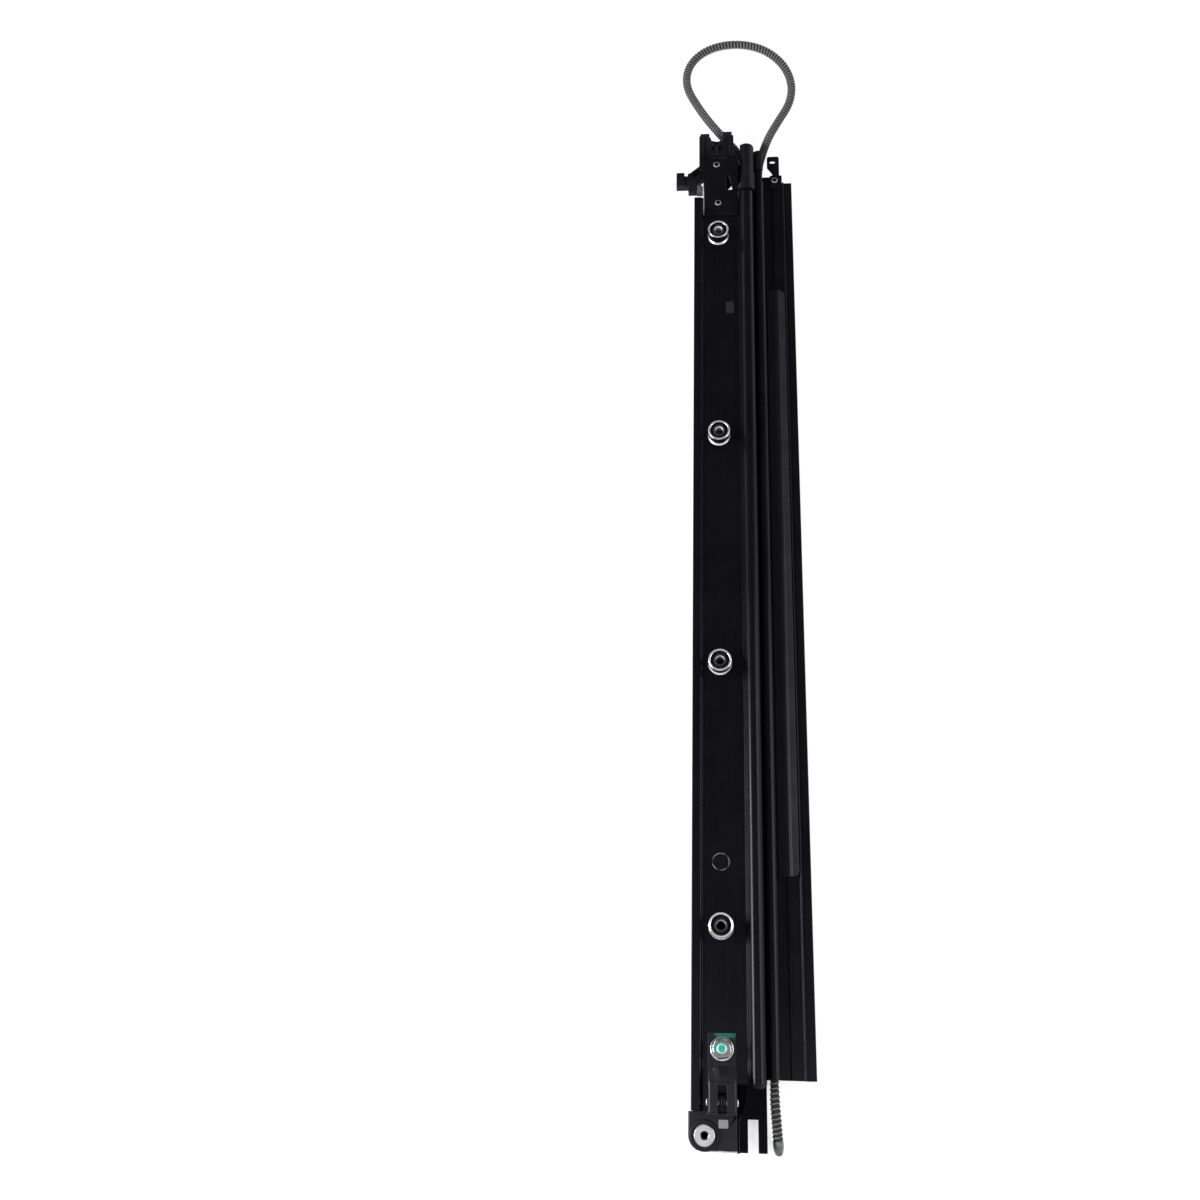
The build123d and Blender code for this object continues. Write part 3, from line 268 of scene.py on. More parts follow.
def turned(name: str, profile: Profile, steps: int = 64, capped: bool = False, rounding: float = 0.05) -> Piece:
    """Turns a piece about the upright axis by extruding and resizing one ring.

    Args:
        name: The piece's name.
        profile: Radius and height pairs in millimetres, round the section.
        steps: Facets round the piece.
        capped: True for a solid that has its first and last ring filled.
        rounding: Width of the edge rounding, in millimetres.

    Returns:
        The new piece, standing at the origin.
    """
    clear_selection()
    radius, height = profile[0]
    bpy.ops.mesh.primitive_circle_add(
        vertices=steps, radius=radius * MM, fill_type="NGON" if capped else "NOTHING", location=(0, 0, height * MM)
    )
    piece = bpy.context.object
    piece.name = name
    settle(piece)
    bpy.ops.object.mode_set(mode="EDIT")
    bpy.ops.mesh.select_all(action="SELECT")
    ring = profile if capped else [*profile, profile[0]]
    for (r_old, z_old), (r_new, z_new) in zip(ring, ring[1:]):
        bpy.ops.mesh.extrude_edges_move(TRANSFORM_OT_translate={"value": (0, 0, (z_new - z_old) * MM)})
        grow = r_new / r_old
        bpy.ops.transform.resize(value=(grow, grow, 1), center_override=(0, 0, z_new * MM))
    if capped:
        bpy.ops.mesh.edge_face_add()
    bpy.ops.mesh.select_all(action="SELECT")
    bpy.ops.mesh.remove_doubles(threshold=1e-6)
    bpy.ops.mesh.normals_make_consistent(inside=False)
    bpy.ops.object.mode_set(mode="OBJECT")
    return soften(piece, rounding)


def copied(piece: Piece, name: str, shift: Vector) -> Piece:
    """Copies a piece with its own mesh.

    Args:
        piece: The piece to copy.
        name: The copy's name.
        shift: How far the copy is moved, in metres.

    Returns:
        The copy.
    """
    mesh = piece.data.copy()
    mesh.transform(Matrix.Translation(shift))
    return placed(name, mesh)


@dataclass(frozen=True)
class Fold:
    """Edges with a wider rounding than the rest, told by the box that holds them."""

    low: Triple
    high: Triple
    width: float
    segments: int = 5

    def round_off(self, piece: Piece) -> None:
        """Rounds the sharp edges of a piece that lie wholly within the box.

        Args:
            piece: The piece.
        """
        pick(piece)
        bpy.ops.object.mode_set(mode="EDIT")
        bpy.ops.mesh.select_mode(type="EDGE")
        bpy.ops.mesh.select_all(action="DESELECT")
        bpy.ops.mesh.edges_select_sharp(sharpness=FOLD_FROM)
        bpy.ops.object.mode_set(mode="OBJECT")
        mesh = piece.data
        low, high = spot(*self.low), spot(*self.high)
        inside = [all(low[axis] <= point.co[axis] <= high[axis] for axis in range(3)) for point in mesh.vertices]
        chosen = [edge.select and all(inside[end] for end in edge.vertices) for edge in mesh.edges]
        ends = {end for edge, wanted in zip(mesh.edges, chosen) if wanted for end in edge.vertices}
        mesh.polygons.foreach_set("select", [False] * len(mesh.polygons))
        mesh.edges.foreach_set("select", chosen)
        mesh.vertices.foreach_set("select", [point.index in ends for point in mesh.vertices])
        bpy.ops.object.mode_set(mode="EDIT")
        bpy.ops.mesh.bevel(offset=self.width * MM, segments=self.segments, affect="EDGES", clamp_overlap=True)
        bpy.ops.mesh.select_mode(type="VERT")
        bpy.ops.object.mode_set(mode="OBJECT")
        log.info("%s: %d edges of a fold rounded", piece.name, sum(chosen))


# Node helpers


class Sheet:
    """Adds and joins nodes in one node tree."""

    def __init__(self, tree: Tree) -> None:
        """Keeps the tree to work in."""
        self.tree = tree

    def add(self, kind: str, *values: object, **settings: object) -> Node:
        """Adds a shader node.

        Args:
            kind: The node's type name after "ShaderNode".
            *values: A number, a colour or an output socket for each of its first inputs.
            **settings: Properties of the node.

        Returns:
            The node.
        """
        node = self.tree.nodes.new("ShaderNode" + kind)
        tune(node, **settings)
        for value, socket in zip(values, node.inputs):
            self.put(value, socket)
        return node

    def feed(self, node: Node, **values: object) -> Node:
        """Sets or links a node's inputs by name, with _ for a space.

        Args:
            node: The node.
            **values: A number, a colour or an output socket for each input.

        Returns:
            The node.
        """
        for key, value in values.items():
            self.put(value, node.inputs[key.replace("_", " ")])
        return node

    def put(self, value: object, socket: Socket) -> None:
        """Links a socket to an input, or sets the input's value.

        Args:
            value: A number, a colour or an output socket.
            socket: The input.
        """
        if isinstance(value, Socket):
            self.tree.links.new(value, socket)
        else:
            socket.default_value = value

    def sum(self, operation: str, first: object, second: object = 0.0, clamp: bool = False) -> Socket:
        """The result of one Math node, kept from 0 to 1 when clamped."""
        return self.add("Math", first, second, operation=operation, use_clamp=clamp).outputs[0]

    def plus(self, first: object, second: object, clamp: bool = False) -> Socket:
        """The sum of two numbers."""
        return self.sum("ADD", first, second, clamp)

    def times(self, first: object, second: object, clamp: bool = False) -> Socket:
        """The product of two numbers."""
        return self.sum("MULTIPLY", first, second, clamp)

    def share(self, first: object, second: object, part: float) -> Socket:
        """The sum of two numbers, with the second taking the given part of the whole."""
        return self.plus(self.times(first, 1.0 - part), self.times(second, part))

    def spread(self, value: object, low: float, high: float, out_low: float = 0.0, out_high: float = 1.0) -> Socket:
        """Maps low to out_low and high to out_high, and keeps the result between them."""
        return self.add("MapRange", value, low, high, out_low, out_high, clamp=True).outputs[0]

    def noise(self, vector: object, scale: object, detail: float, rough: float) -> Socket:
        """Noise at some coordinates, with its cells per metre, detail and roughness."""
        node = self.add("TexNoise")
        return self.feed(node, Vector=vector, Scale=scale, Detail=detail, Roughness=rough).outputs["Fac"]

    def blend(self, amount: object, first: object, second: object) -> Socket:
        """Mixes two colours.

        Args:
            amount: 0 for the first, 1 for the second.
            first: A colour or socket.
            second: A colour or socket.

        Returns:
            The mixed colour's socket.
        """
        node = self.add("Mix", amount, data_type="RGBA", clamp_factor=True)
        for socket, colour in ((node.inputs[6], first), (node.inputs[7], second)):
            self.put((*colour, 1.0) if isinstance(colour, tuple) else colour, socket)
        return node.outputs[2]

    def squeezed(self, vector: object, scale: Triple, turn: float = 0.0) -> Socket:
        """Stretches coordinates, and turns them about the upright axis."""
        return self.feed(self.add("Mapping"), Vector=vector, Scale=scale, Rotation=(0.0, 0.0, turn)).outputs[0]

    def distance(self, here: object, centre: Triple, reach: Triple = (1.0, 1.0, 1.0e6)) -> Socket:
        """The distance from a centre, in reaches of so many millimetres along each axis.

        Args:
            here: Object coordinates.
            centre: The centre.
            reach: The reaches; as given, the distance is measured level from an upright axis.

        Returns:
            The distance's socket.
        """
        near = self.add("Mapping", here, vector_type="TEXTURE")
        self.feed(near, Location=tuple(spot(*centre)), Scale=tuple(part * MM for part in reach))
        return self.add("VectorMath", near.outputs[0], operation="LENGTH").outputs["Value"]

    def axis(self, vector: object, index: int) -> Socket:
        """One part of a vector."""
        return self.add("SeparateXYZ", vector).outputs[index]

    def normal(self) -> Socket:
        """The surface's normal."""
        return self.add("NewGeometry").outputs["Normal"]

    def here(self, name: str = "Object") -> Socket:
        """The coordinates of the point that is shaded."""
        return self.add("TexCoord").outputs[name]

    def marked(self, name: str) -> Socket:
        """The value of a mesh attribute."""
        return self.add("Attribute", attribute_name=name).outputs["Fac"]

    def group(self, tree: Tree, **values: object) -> bpy.types.bpy_prop_collection:
        """Places a shared group and gives its outputs."""
        return self.feed(self.add("Group", node_tree=tree), **values).outputs


def empty_sheet(block: Material | bpy.types.World) -> Sheet:
    """Empties the nodes of a new material or world.

    Args:
        block: The material or world.

    Returns:
        Its sheet.
    """
    block.use_nodes = True
    block.node_tree.nodes.clear()
    return Sheet(block.node_tree)


def new_group(name: str, rule: Callable[..., tuple[Socket, ...]], outputs: tuple[str, ...], **inputs: float) -> Tree:
    """Makes a shader group.

    Args:
        name: Its name.
        rule: Gives the results from the group's sheet, its coordinates and its other inputs.
        outputs: The names of the results.
        **inputs: The default of each other input.

    Returns:
        The group.
    """
    tree = bpy.data.node_groups.new(name, "ShaderNodeTree")
    tree.interface.new_socket("Vector", in_out="INPUT", socket_type="NodeSocketVector")
    for key, value in inputs.items():
        socket = tree.interface.new_socket(key.replace("_", " "), in_out="INPUT", socket_type="NodeSocketFloat")
        socket.default_value = value
    for key in outputs:
        tree.interface.new_socket(key, in_out="OUTPUT", socket_type="NodeSocketFloat")
    into, out = tree.nodes.new("NodeGroupInput"), tree.nodes.new("NodeGroupOutput")
    given = list(into.outputs)[: 1 + len(inputs)]
    sheet = Sheet(tree)
    for result, socket in zip(rule(sheet, *given), out.inputs):
        sheet.put(result, socket)
    return tree


class Effects:
    """The shared effects, each one shader group that is built once."""

    def __init__(self) -> None:
        """Builds every group."""
        self.grain = new_group("fine_grain", self._grain, ("Grain", "Patches"), Grain_Scale=3000.0, Patch_Scale=40.0)
        self.die_lines = new_group("die_lines", self._die_lines, ("Lines",), Fineness=2600.0)
        self.edge_wear_and_highlight = new_group("edge_wear_and_highlight", self._edge_wear_and_highlight, ("Edge",), Radius=0.0003, Breakup=700.0)
        self.dust = new_group("dust", self._dust, ("Dust",), Specks=420.0, Amount=0.5)
        self.scratches = new_group("scratches", self._scratches, ("Scratch",), Density=900.0)

    @staticmethod
    def _grain(sheet: Sheet, here: Socket, fine: Socket, wide: Socket) -> tuple[Socket, ...]:
        """Fine grain and large soft patches."""
        return sheet.noise(here, fine, 3.0, 0.6), sheet.spread(sheet.noise(here, wide, 3.0, 0.55), 0.3, 0.7)

    @staticmethod
    def _die_lines(sheet: Sheet, here: Socket, fineness: Socket) -> tuple[Socket, ...]:
        """Long fine lines that the extrusion die leaves along the rail.

        Args:
            sheet: The group's sheet.
            here: The coordinates.
            fineness: Lines per metre.

        Returns:
            The lines.
        """
        long_way = sheet.squeezed(here, (1.0, 0.008, 1.0))
        fine = sheet.noise(long_way, fineness, 2.0, 0.6)
        coarse = sheet.noise(long_way, sheet.times(fineness, 0.22), 2.0, 0.5)
        return (sheet.spread(sheet.share(fine, coarse, 0.4), 0.32, 0.68),)

    @staticmethod
    def _edge_wear_and_highlight(sheet: Sheet, here: Socket, radius: Socket, breakup: Socket) -> tuple[Socket, ...]:
        """A broken mask along outer edges.

        Args:
            sheet: The group's sheet.
            here: The coordinates.
            radius: The width of the wear, in metres.
            breakup: Its breaks per metre.

        Returns:
            The mask.
        """
        rounded = sheet.add("Bevel", radius, samples=4).outputs[0]
        plain = sheet.add("NewGeometry").outputs["True Normal"]
        dot = sheet.add("VectorMath", rounded, plain, operation="DOT_PRODUCT").outputs["Value"]
        broken = sheet.spread(sheet.noise(here, breakup, 3.0, 0.7), 0.42, 0.62)
        return (sheet.times(sheet.spread(dot, 0.995, 0.86), broken),)

    @staticmethod
    def _dust(sheet: Sheet, here: Socket, specks: Socket, amount: Socket) -> tuple[Socket, ...]:
        """Small light specks on surfaces that face up.

        Args:
            sheet: The group's sheet.
            here: The coordinates.
            specks: Specks per metre.
            amount: How strong they are.

        Returns:
            The mask.
        """
        cells = sheet.feed(sheet.add("TexVoronoi", feature="F1"), Vector=here, Scale=specks, Randomness=1.0)
        chance = sheet.add("SeparateColor", cells.outputs["Color"]).outputs[0]
        size = sheet.times(sheet.sum("POWER", chance, 6.0), 0.16)
        speck = sheet.sum("LESS_THAN", cells.outputs["Distance"], size)
        film = sheet.spread(sheet.noise(here, 60.0, 4.0, 0.6), 0.45, 0.75, 0.0, 0.25)
        upward = sheet.spread(sheet.axis(sheet.normal(), 2), 0.2, 0.9)
        return (sheet.times(sheet.times(sheet.plus(speck, film), upward), amount, True),)

    @staticmethod
    def _scratches(sheet: Sheet, here: Socket, density: Socket) -> tuple[Socket, ...]:
        """Rare thin scratches in several directions.

        Args:
            sheet: The group's sheet.
            here: The coordinates.
            density: Cells per metre.

        Returns:
            The mask.
        """
        total: object = 0.0
        for turn in (0.35, 1.25, 2.2, 2.9):
            way = sheet.squeezed(here, (1.0, 0.05, 1.0), turn)
            off_line = sheet.sum("ABSOLUTE", sheet.sum("SUBTRACT", sheet.noise(way, density, 0.0, 0.5), 0.5))
            where = sheet.spread(sheet.noise(way, 330.0 + 90 * turn, 1.0, 0.5), 0.62, 0.7)
            total = sheet.plus(total, sheet.times(sheet.spread(off_line, 0.006, 0.0), where))
        return (sheet.sum("MINIMUM", total, 1.0),)


# Finishes. The colours are linear, and scales are in cells per metre.

COOL: Triple = (0.84, 0.83, 1.0)
WHITE: Triple = (1.0, 1.0, 1.0)
# The grey that painted shade and painted reflection rings darken towards.
PAINTED_SHADE_GREY: Triple = (0.03, 0.03, 0.032)
# Painted shade in bores.
BORE_SHADE_GREY: Triple = (0.05, 0.05, 0.052)
# Heights between which the collar's waist, under its rolled rim, is painted dark as shade.
COLLAR_FOOT, COLLAR_RIM = FLANGE_TOP + 1.25, FLANGE_TOP + 8.36


@dataclass
class Surface:
    """A surface while its finish is built: its sheet and coordinates, and what is known of it so far."""

    sheet: Sheet
    here: Socket
    colour: object
    rough: object
    height: object

    def cover(self, mask: object, colour: object) -> None:
        """Lays a colour over the surface where the mask is 1."""
        self.colour = self.sheet.blend(mask, self.colour, colour)


@dataclass(frozen=True)
class Finish:
    """One finish: the values of a procedural material."""

    name: str
    dark: Triple
    light: Triple
    rough_low: float
    rough_high: float
    metallic: float = 0.0
    specular: float = 0.5
    tint: Triple = WHITE
    sheen: float = 0.0
    grain_scale: float = 2400.0
    patch_scale: float = 90.0
    lines: float = 0.0
    bump: float = 0.1
    bump_depth: float = 0.00002
    # A lighter colour along outer edges: worn edges, and on the bumper's ribs a painted highlight.
    wear_and_highlight: Triple | None = None
    wear_and_highlight_strength: float = 0.5
    scratch: float = 0.0
    dust: float = 0.0
    dust_colour: Triple = (0.07, 0.07, 0.07)

    def build(self, effects: Effects) -> Material:
        """Makes the material.

        Args:
            effects: The shared groups.

        Returns:
            The material.
        """
        material = bpy.data.materials.new(self.name)
        sheet = empty_sheet(material)
        surface = self._ground(sheet, effects)
        self._mark(surface, effects)
        self._paint(surface)
        bump = sheet.feed(sheet.add("Bump"), Strength=self.bump, Distance=self.bump_depth, Height=surface.height)
        shader = sheet.feed(
            sheet.add("BsdfPrincipled"), Metallic=self.metallic, Specular_IOR_Level=self.specular,
            Specular_Tint=(*self.tint, 1.0), Sheen_Weight=self.sheen, Base_Color=surface.colour,
            Roughness=surface.rough, Normal=bump.outputs[0],
        )
        sheet.add("OutputMaterial", shader.outputs[0])
        return material

    def _ground(self, sheet: Sheet, effects: Effects) -> Surface:
        """Makes the plain surface.

        Args:
            sheet: The material's sheet.
            effects: The shared groups.

        Returns:
            The surface.
        """
        here = sheet.here()
        grain = sheet.group(effects.grain, Vector=here, Grain_Scale=self.grain_scale, Patch_Scale=self.patch_scale)
        height, sway = grain["Grain"], grain["Patches"]
        if self.lines:
            lines = sheet.group(effects.die_lines, Vector=here)["Lines"]
            height, sway = sheet.share(height, lines, self.lines), sheet.share(sway, lines, 0.45)
        rough = sheet.spread(sheet.share(sway, height, 0.4), 0.2, 0.8, self.rough_low, self.rough_high)
        return Surface(sheet, here, sheet.blend(sway, self.dark, self.light), rough, height)

    def _mark(self, surface: Surface, effects: Effects) -> None:
        """Adds worn edges and painted edge highlights, scratches and dust.

        Args:
            surface: The surface.
            effects: The shared groups.
        """
        sheet = surface.sheet
        if self.wear_and_highlight:
            edge = sheet.group(effects.edge_wear_and_highlight, Vector=surface.here)["Edge"]
            surface.cover(sheet.times(edge, self.wear_and_highlight_strength), self.wear_and_highlight)
        if self.scratch:
            line = sheet.group(effects.scratches, Vector=surface.here)["Scratch"]
            bright = tuple(min(1.0, part * 3.5 + 0.02) for part in self.light)
            surface.cover(sheet.times(line, self.scratch), bright)
        if self.dust:
            dust = sheet.group(effects.dust, Vector=surface.here, Amount=self.dust)["Dust"]
            surface.cover(dust, self.dust_colour)
            surface.rough = sheet.plus(surface.rough, sheet.times(dust, 0.4), True)

    def _paint(self, surface: Surface) -> None:
        """Adds nothing: a plain finish has no paint on it."""


@dataclass(frozen=True)
class TurnedFinish(Finish):
    """A turned or pressed round face: fine rings about its axis in its height, painted reflection rings in its colour,
    and painted shade towards the middle.
    """

    axis: Triple = (0.0, 0.0, 0.0)
    inner: float = 2.0
    outer: float = 6.0
    # How much of the colour is left at the middle; the rest is painted shade.
    centre_shade: float = 0.45
    # How far the painted reflection rings darken the colour.
    rings: float = 0.35

    def _paint(self, surface: Surface) -> None:
        """Paints shade towards the axis and dark reflection rings round it, and adds the fine rings to its height.

        Args:
            surface: The surface.
        """
        sheet = surface.sheet
        radius = sheet.distance(surface.here, self.axis)
        # The rings in the colour are painted reflection bands of the turning; the sine below is the rings' real height.
        band = sheet.feed(sheet.add("TexNoise", noise_dimensions="1D"), W=radius, Scale=2.2, Detail=2.0)
        tone = sheet.spread(radius, self.inner, self.outer, self.centre_shade, 1.0)
        tone = sheet.times(tone, sheet.spread(band.outputs["Fac"], 0.35, 0.65, 1.0 - self.rings, 1.0))
        surface.colour = sheet.blend(tone, PAINTED_SHADE_GREY, surface.colour)
        wave = sheet.sum("SINE", sheet.times(radius, 55.0))
        surface.height = sheet.plus(surface.height, sheet.times(wave, 0.35))


@dataclass(frozen=True)
class BoredFinish(Finish):
    """A finish whose bore, told by the bore attribute, is painted dark as shade.

    The far side of the bore can carry a painted highlight, brighter than the near side, and a waist can carry painted
    shade.
    """

    # Painted shade in the bore.
    inside: Triple = (0.004, 0.004, 0.004)
    # A painted highlight on the bore's far wall, and how deep it reaches below the rim.
    bore_highlight: Triple | None = None
    bore_highlight_depth: float = 6.0
    rim_height: float = 26.0
    # Heights between which a waist is painted dark as shade.
    waist: Span | None = None

    def _paint(self, surface: Surface) -> None:
        """Paints shade in the bore and on the waist, and a highlight on the bore's far wall.

        Args:
            surface: The surface.
        """
        sheet = surface.sheet
        up = sheet.axis(surface.here, 2)
        tone: object = self.inside
        # Painted highlight on the upper part of the bore's far wall.
        if self.bore_highlight:
            rim = spot(0.0, 0.0, self.rim_height).z
            deep = sheet.spread(up, rim - self.bore_highlight_depth * MM, rim)
            far_side = sheet.spread(sheet.axis(sheet.normal(), 1), 0.1, -0.45)
            tone = sheet.blend(sheet.times(deep, far_side), self.inside, self.bore_highlight)
        # Painted shade on the waist.
        if self.waist:
            low, high = (spot(0.0, 0.0, height).z for height in self.waist)
            above, below = sheet.spread(up, low, low + 0.3 * MM), sheet.spread(up, high, high + 0.22 * MM, 1.0, 0.0)
            surface.cover(sheet.times(above, below), PAINTED_SHADE_GREY)
        # Painted shade in the bore, with the highlight on its far wall where there is one.
        surface.cover(sheet.spread(sheet.marked("bore"), 0.35, 0.65), tone)


@dataclass(frozen=True)
class DabbedFinish(TurnedFinish):
    """A finish with a dab of colour on it, such as a dab of paint that an assembler leaves or a painted highlight along
    an edge, and maybe a lighter rear edge.
    """

    paint: Triple = (0.03, 0.50, 0.38)
    centre: Triple = (17.3, 53.7, 27.0)
    reach: Triple = (5.0, 5.0, 4.0)
    ragged: float = 0.35
    fade: float = 0.18
    # Where the lighter rear edge starts, and its colour.
    bare_behind: float | None = None
    bare: Triple = (0.6, 0.6, 0.61)

    def _paint(self, surface: Surface) -> None:
        """Lays the paint where the point is within reach of the dab's centre.

        Args:
            surface: The surface.
        """
        sheet, here = surface.sheet, surface.here
        if self.rings:
            super()._paint(surface)
        # The rear edge is painted lighter, in broken patches.
        if self.bare_behind is not None:
            start, full = (spot(0.0, along, 0.0).y for along in (self.bare_behind, self.bare_behind - 0.25))
            broken = sheet.spread(sheet.noise(here, 260.0, 3.0, 0.6), 0.36, 0.5, 0.25, 1.0)
            surface.cover(sheet.times(sheet.spread(sheet.axis(here, 1), start, full), broken), self.bare)
        ragged = sheet.times(sheet.sum("SUBTRACT", sheet.noise(here, 520.0, 3.0, 0.6), 0.5), self.ragged * 4)
        edge = sheet.plus(sheet.distance(here, self.centre, self.reach), ragged)
        mask = sheet.spread(edge, 1.0 + self.fade, 1.0 - self.fade)
        thick = sheet.add("VectorMath", self.paint, operation="SCALE")
        sheet.feed(thick, Scale=sheet.spread(sheet.noise(here, 900.0, 2.0, 0.6), 0.3, 0.7, 0.75, 1.25))
        surface.cover(mask, thick.outputs[0])
        surface.rough = sheet.plus(surface.rough, sheet.times(mask, 0.12))


@dataclass(frozen=True)
class RimmedFinish(Finish):
    """A flush disc with a painted highlight on its rim, in broken arcs."""

    axis: Triple = (17.6, 161.0, 18.0)
    rim_radius: float = 5.2
    rim_width: float = 0.5
    # The colour of the painted highlight on the rim.
    rim: Triple = (0.20, 0.20, 0.21)

    def _paint(self, surface: Surface) -> None:
        """Paints a highlight on parts of the rim.

        Args:
            surface: The surface.
        """
        sheet = surface.sheet
        off_rim = sheet.sum("SUBTRACT", sheet.distance(surface.here, self.axis), self.rim_radius)
        ring = sheet.spread(sheet.sum("ABSOLUTE", off_rim), self.rim_width, self.rim_width * 0.5)
        broken = sheet.spread(sheet.noise(surface.here, 170.0, 2.0, 0.5), 0.42, 0.56, 0.1, 1.0)
        surface.cover(sheet.times(ring, broken), self.rim)


@dataclass(frozen=True)
class ShadedWebFinish(Finish):
    """The trough strip: its raised pad is matt and pale, and its lower thin part beside it is painted dark as shade, as
    dark as the rail.
    """

    web_shade: Triple = (0.0052, 0.0050, 0.0060)
    web_edge: float = 60.2
    web_blur: float = 0.15

    def _paint(self, surface: Surface) -> None:
        """Paints shade on the thin part, left of the pad.

        Args:
            surface: The surface.
        """
        sheet = surface.sheet
        low, high = (spot(self.web_edge + side * self.web_blur, 0.0, 0.0).x for side in (-1, 1))
        web_shade = sheet.spread(sheet.axis(surface.here, 0), low, high, 1.0, 0.0)
        surface.cover(web_shade, self.web_shade)
        surface.rough = sheet.plus(surface.rough, sheet.times(web_shade, -0.1))


@dataclass(frozen=True)
class FlockFinish(Finish):
    """The drive cable: a wound wire with short dark flock in between, told apart by the rib attribute."""

    crest: Triple = (0.16, 0.155, 0.15)
    crest_from: float = 0.45
    crest_full: float = 0.95
    # How dark the shaded ends are painted, as a part of the dark flock's colour.
    end_shade_tone: float = 0.3

    def _ground(self, sheet: Sheet, effects: Effects) -> Surface:
        """Makes the surface from the rib attribute of the cable's mesh, with painted shade on its marked ends.

        Args:
            sheet: The material's sheet.
            effects: The shared groups, which the cable doesn't need.

        Returns:
            The surface.
        """
        here, rib = sheet.here(), sheet.marked("rib")
        fuzz = sheet.noise(here, self.grain_scale, 4.0, 0.7)
        patches = sheet.spread(sheet.noise(here, self.patch_scale, 3.0, 0.6), 0.3, 0.7)
        wire = sheet.times(
            sheet.spread(rib, self.crest_from, self.crest_full), sheet.spread(fuzz, 0.3, 0.7, 0.55, 1.0)
        )
        rough = sheet.spread(rib, 0.3, 1.0, self.rough_high, self.rough_low)
        surface = Surface(sheet, here, sheet.blend(fuzz, self.dark, self.light), rough, sheet.share(fuzz, rib, 0.3))
        surface.cover(wire, self.crest)
        # Painted shade on the cable's ends, where they run in under the hood and the guide block.
        surface.cover(sheet.marked("end_shade"), tuple(part * self.end_shade_tone for part in self.dark))
        surface.cover(sheet.times(patches, 0.25), self.dark)
        return surface


def variant(base: Finish, kind: type[Finish], name: str, **changes: object) -> Finish:
    """A finish of its own kind and name that shares its other values with a plain one."""
    return kind(**{**vars(base), "name": name, **changes})


RAIL = Finish(
    "black_anodised_rail", (0.0021, 0.0019, 0.0029), (0.0040, 0.0036, 0.0054), 0.2, 0.3,
    specular=0.19, tint=COOL, grain_scale=5200.0, patch_scale=18.0, lines=0.7, bump=0.14, bump_depth=0.00003,
    wear_and_highlight=(0.05, 0.049, 0.054), wear_and_highlight_strength=0.3, scratch=0.1, dust=0.07, dust_colour=(0.07, 0.07, 0.075),
)
STEEL = Finish(
    "black_coated_steel", (0.0020, 0.0019, 0.0025), (0.0040, 0.0038, 0.0048), 0.28, 0.42,
    specular=0.13, tint=COOL, grain_scale=2600.0, patch_scale=70.0, bump=0.2, bump_depth=0.00004,
    wear_and_highlight=(0.09, 0.09, 0.095), scratch=0.12, dust=0.05, dust_colour=(0.08, 0.08, 0.085),
)
# A painted highlight along the front bracket's folded left edge, where the fold catches the light.
HIGHLIT_FOLD_STEEL = variant(
    STEEL, DabbedFinish, "black_steel_with_painted_fold_highlight",
    rings=0.0, centre=(6.9, 646.5, 20.0), reach=(0.5, 12.0, 4.0), ragged=0.1, fade=0.3, paint=(0.24, 0.24, 0.26),
)
PAD_STEEL = variant(
    STEEL, DabbedFinish, "black_steel_with_teal_dab", dark=(0.0072, 0.0069, 0.0084), light=(0.0120, 0.0116, 0.0140),
    rough_low=0.3, rough_high=0.45, specular=0.29, dust=0.14, rings=0.0, centre=(19.8, 62.3, 19.5),
    reach=(6.9, 2.6, 2.0), ragged=0.2, paint=(0.006, 0.10, 0.080), bare_behind=-0.15,
)
ZINC = Finish(
    "bright_zinc", (0.50, 0.50, 0.52), (0.78, 0.78, 0.80), 0.12, 0.3, metallic=1.0, patch_scale=260.0, scratch=0.1
)
# The collar's bore and waist are painted dark as shade.
COLLAR_ZINC = BoredFinish(
    "rolled_zinc_collar", (0.80, 0.80, 0.82), (0.95, 0.95, 0.96), 0.2, 0.34,
    metallic=0.9, bump=0.06, bump_depth=0.00001, inside=BORE_SHADE_GREY, waist=(COLLAR_FOOT, COLLAR_RIM),
)
# The sleeve's bore gets a painted highlight on its far wall.
SLEEVE_STEEL = BoredFinish(
    "dark_sleeve_with_painted_bore_highlight", (0.012, 0.012, 0.013), (0.026, 0.026, 0.028), 0.4, 0.55,
    metallic=0.2, patch_scale=260.0, inside=BORE_SHADE_GREY, bore_highlight=(0.85, 0.85, 0.86),
)
RIVET_ZINC = BoredFinish(
    "dulled_zinc_rivet", (0.20, 0.20, 0.21), (0.34, 0.34, 0.35), 0.4, 0.55, metallic=0.6, patch_scale=300.0
)
# The rear sleeve's face is painted darker near its bore, as shade, with painted reflection rings.
END_ZINC = TurnedFinish(
    "turned_zinc_sleeve", (0.62, 0.62, 0.64), (0.86, 0.86, 0.88), 0.14, 0.26,
    metallic=1.0, patch_scale=200.0, bump=0.14, axis=(7.8, 7.6, 20.0), outer=2.7, centre_shade=0.06, rings=0.5,
)
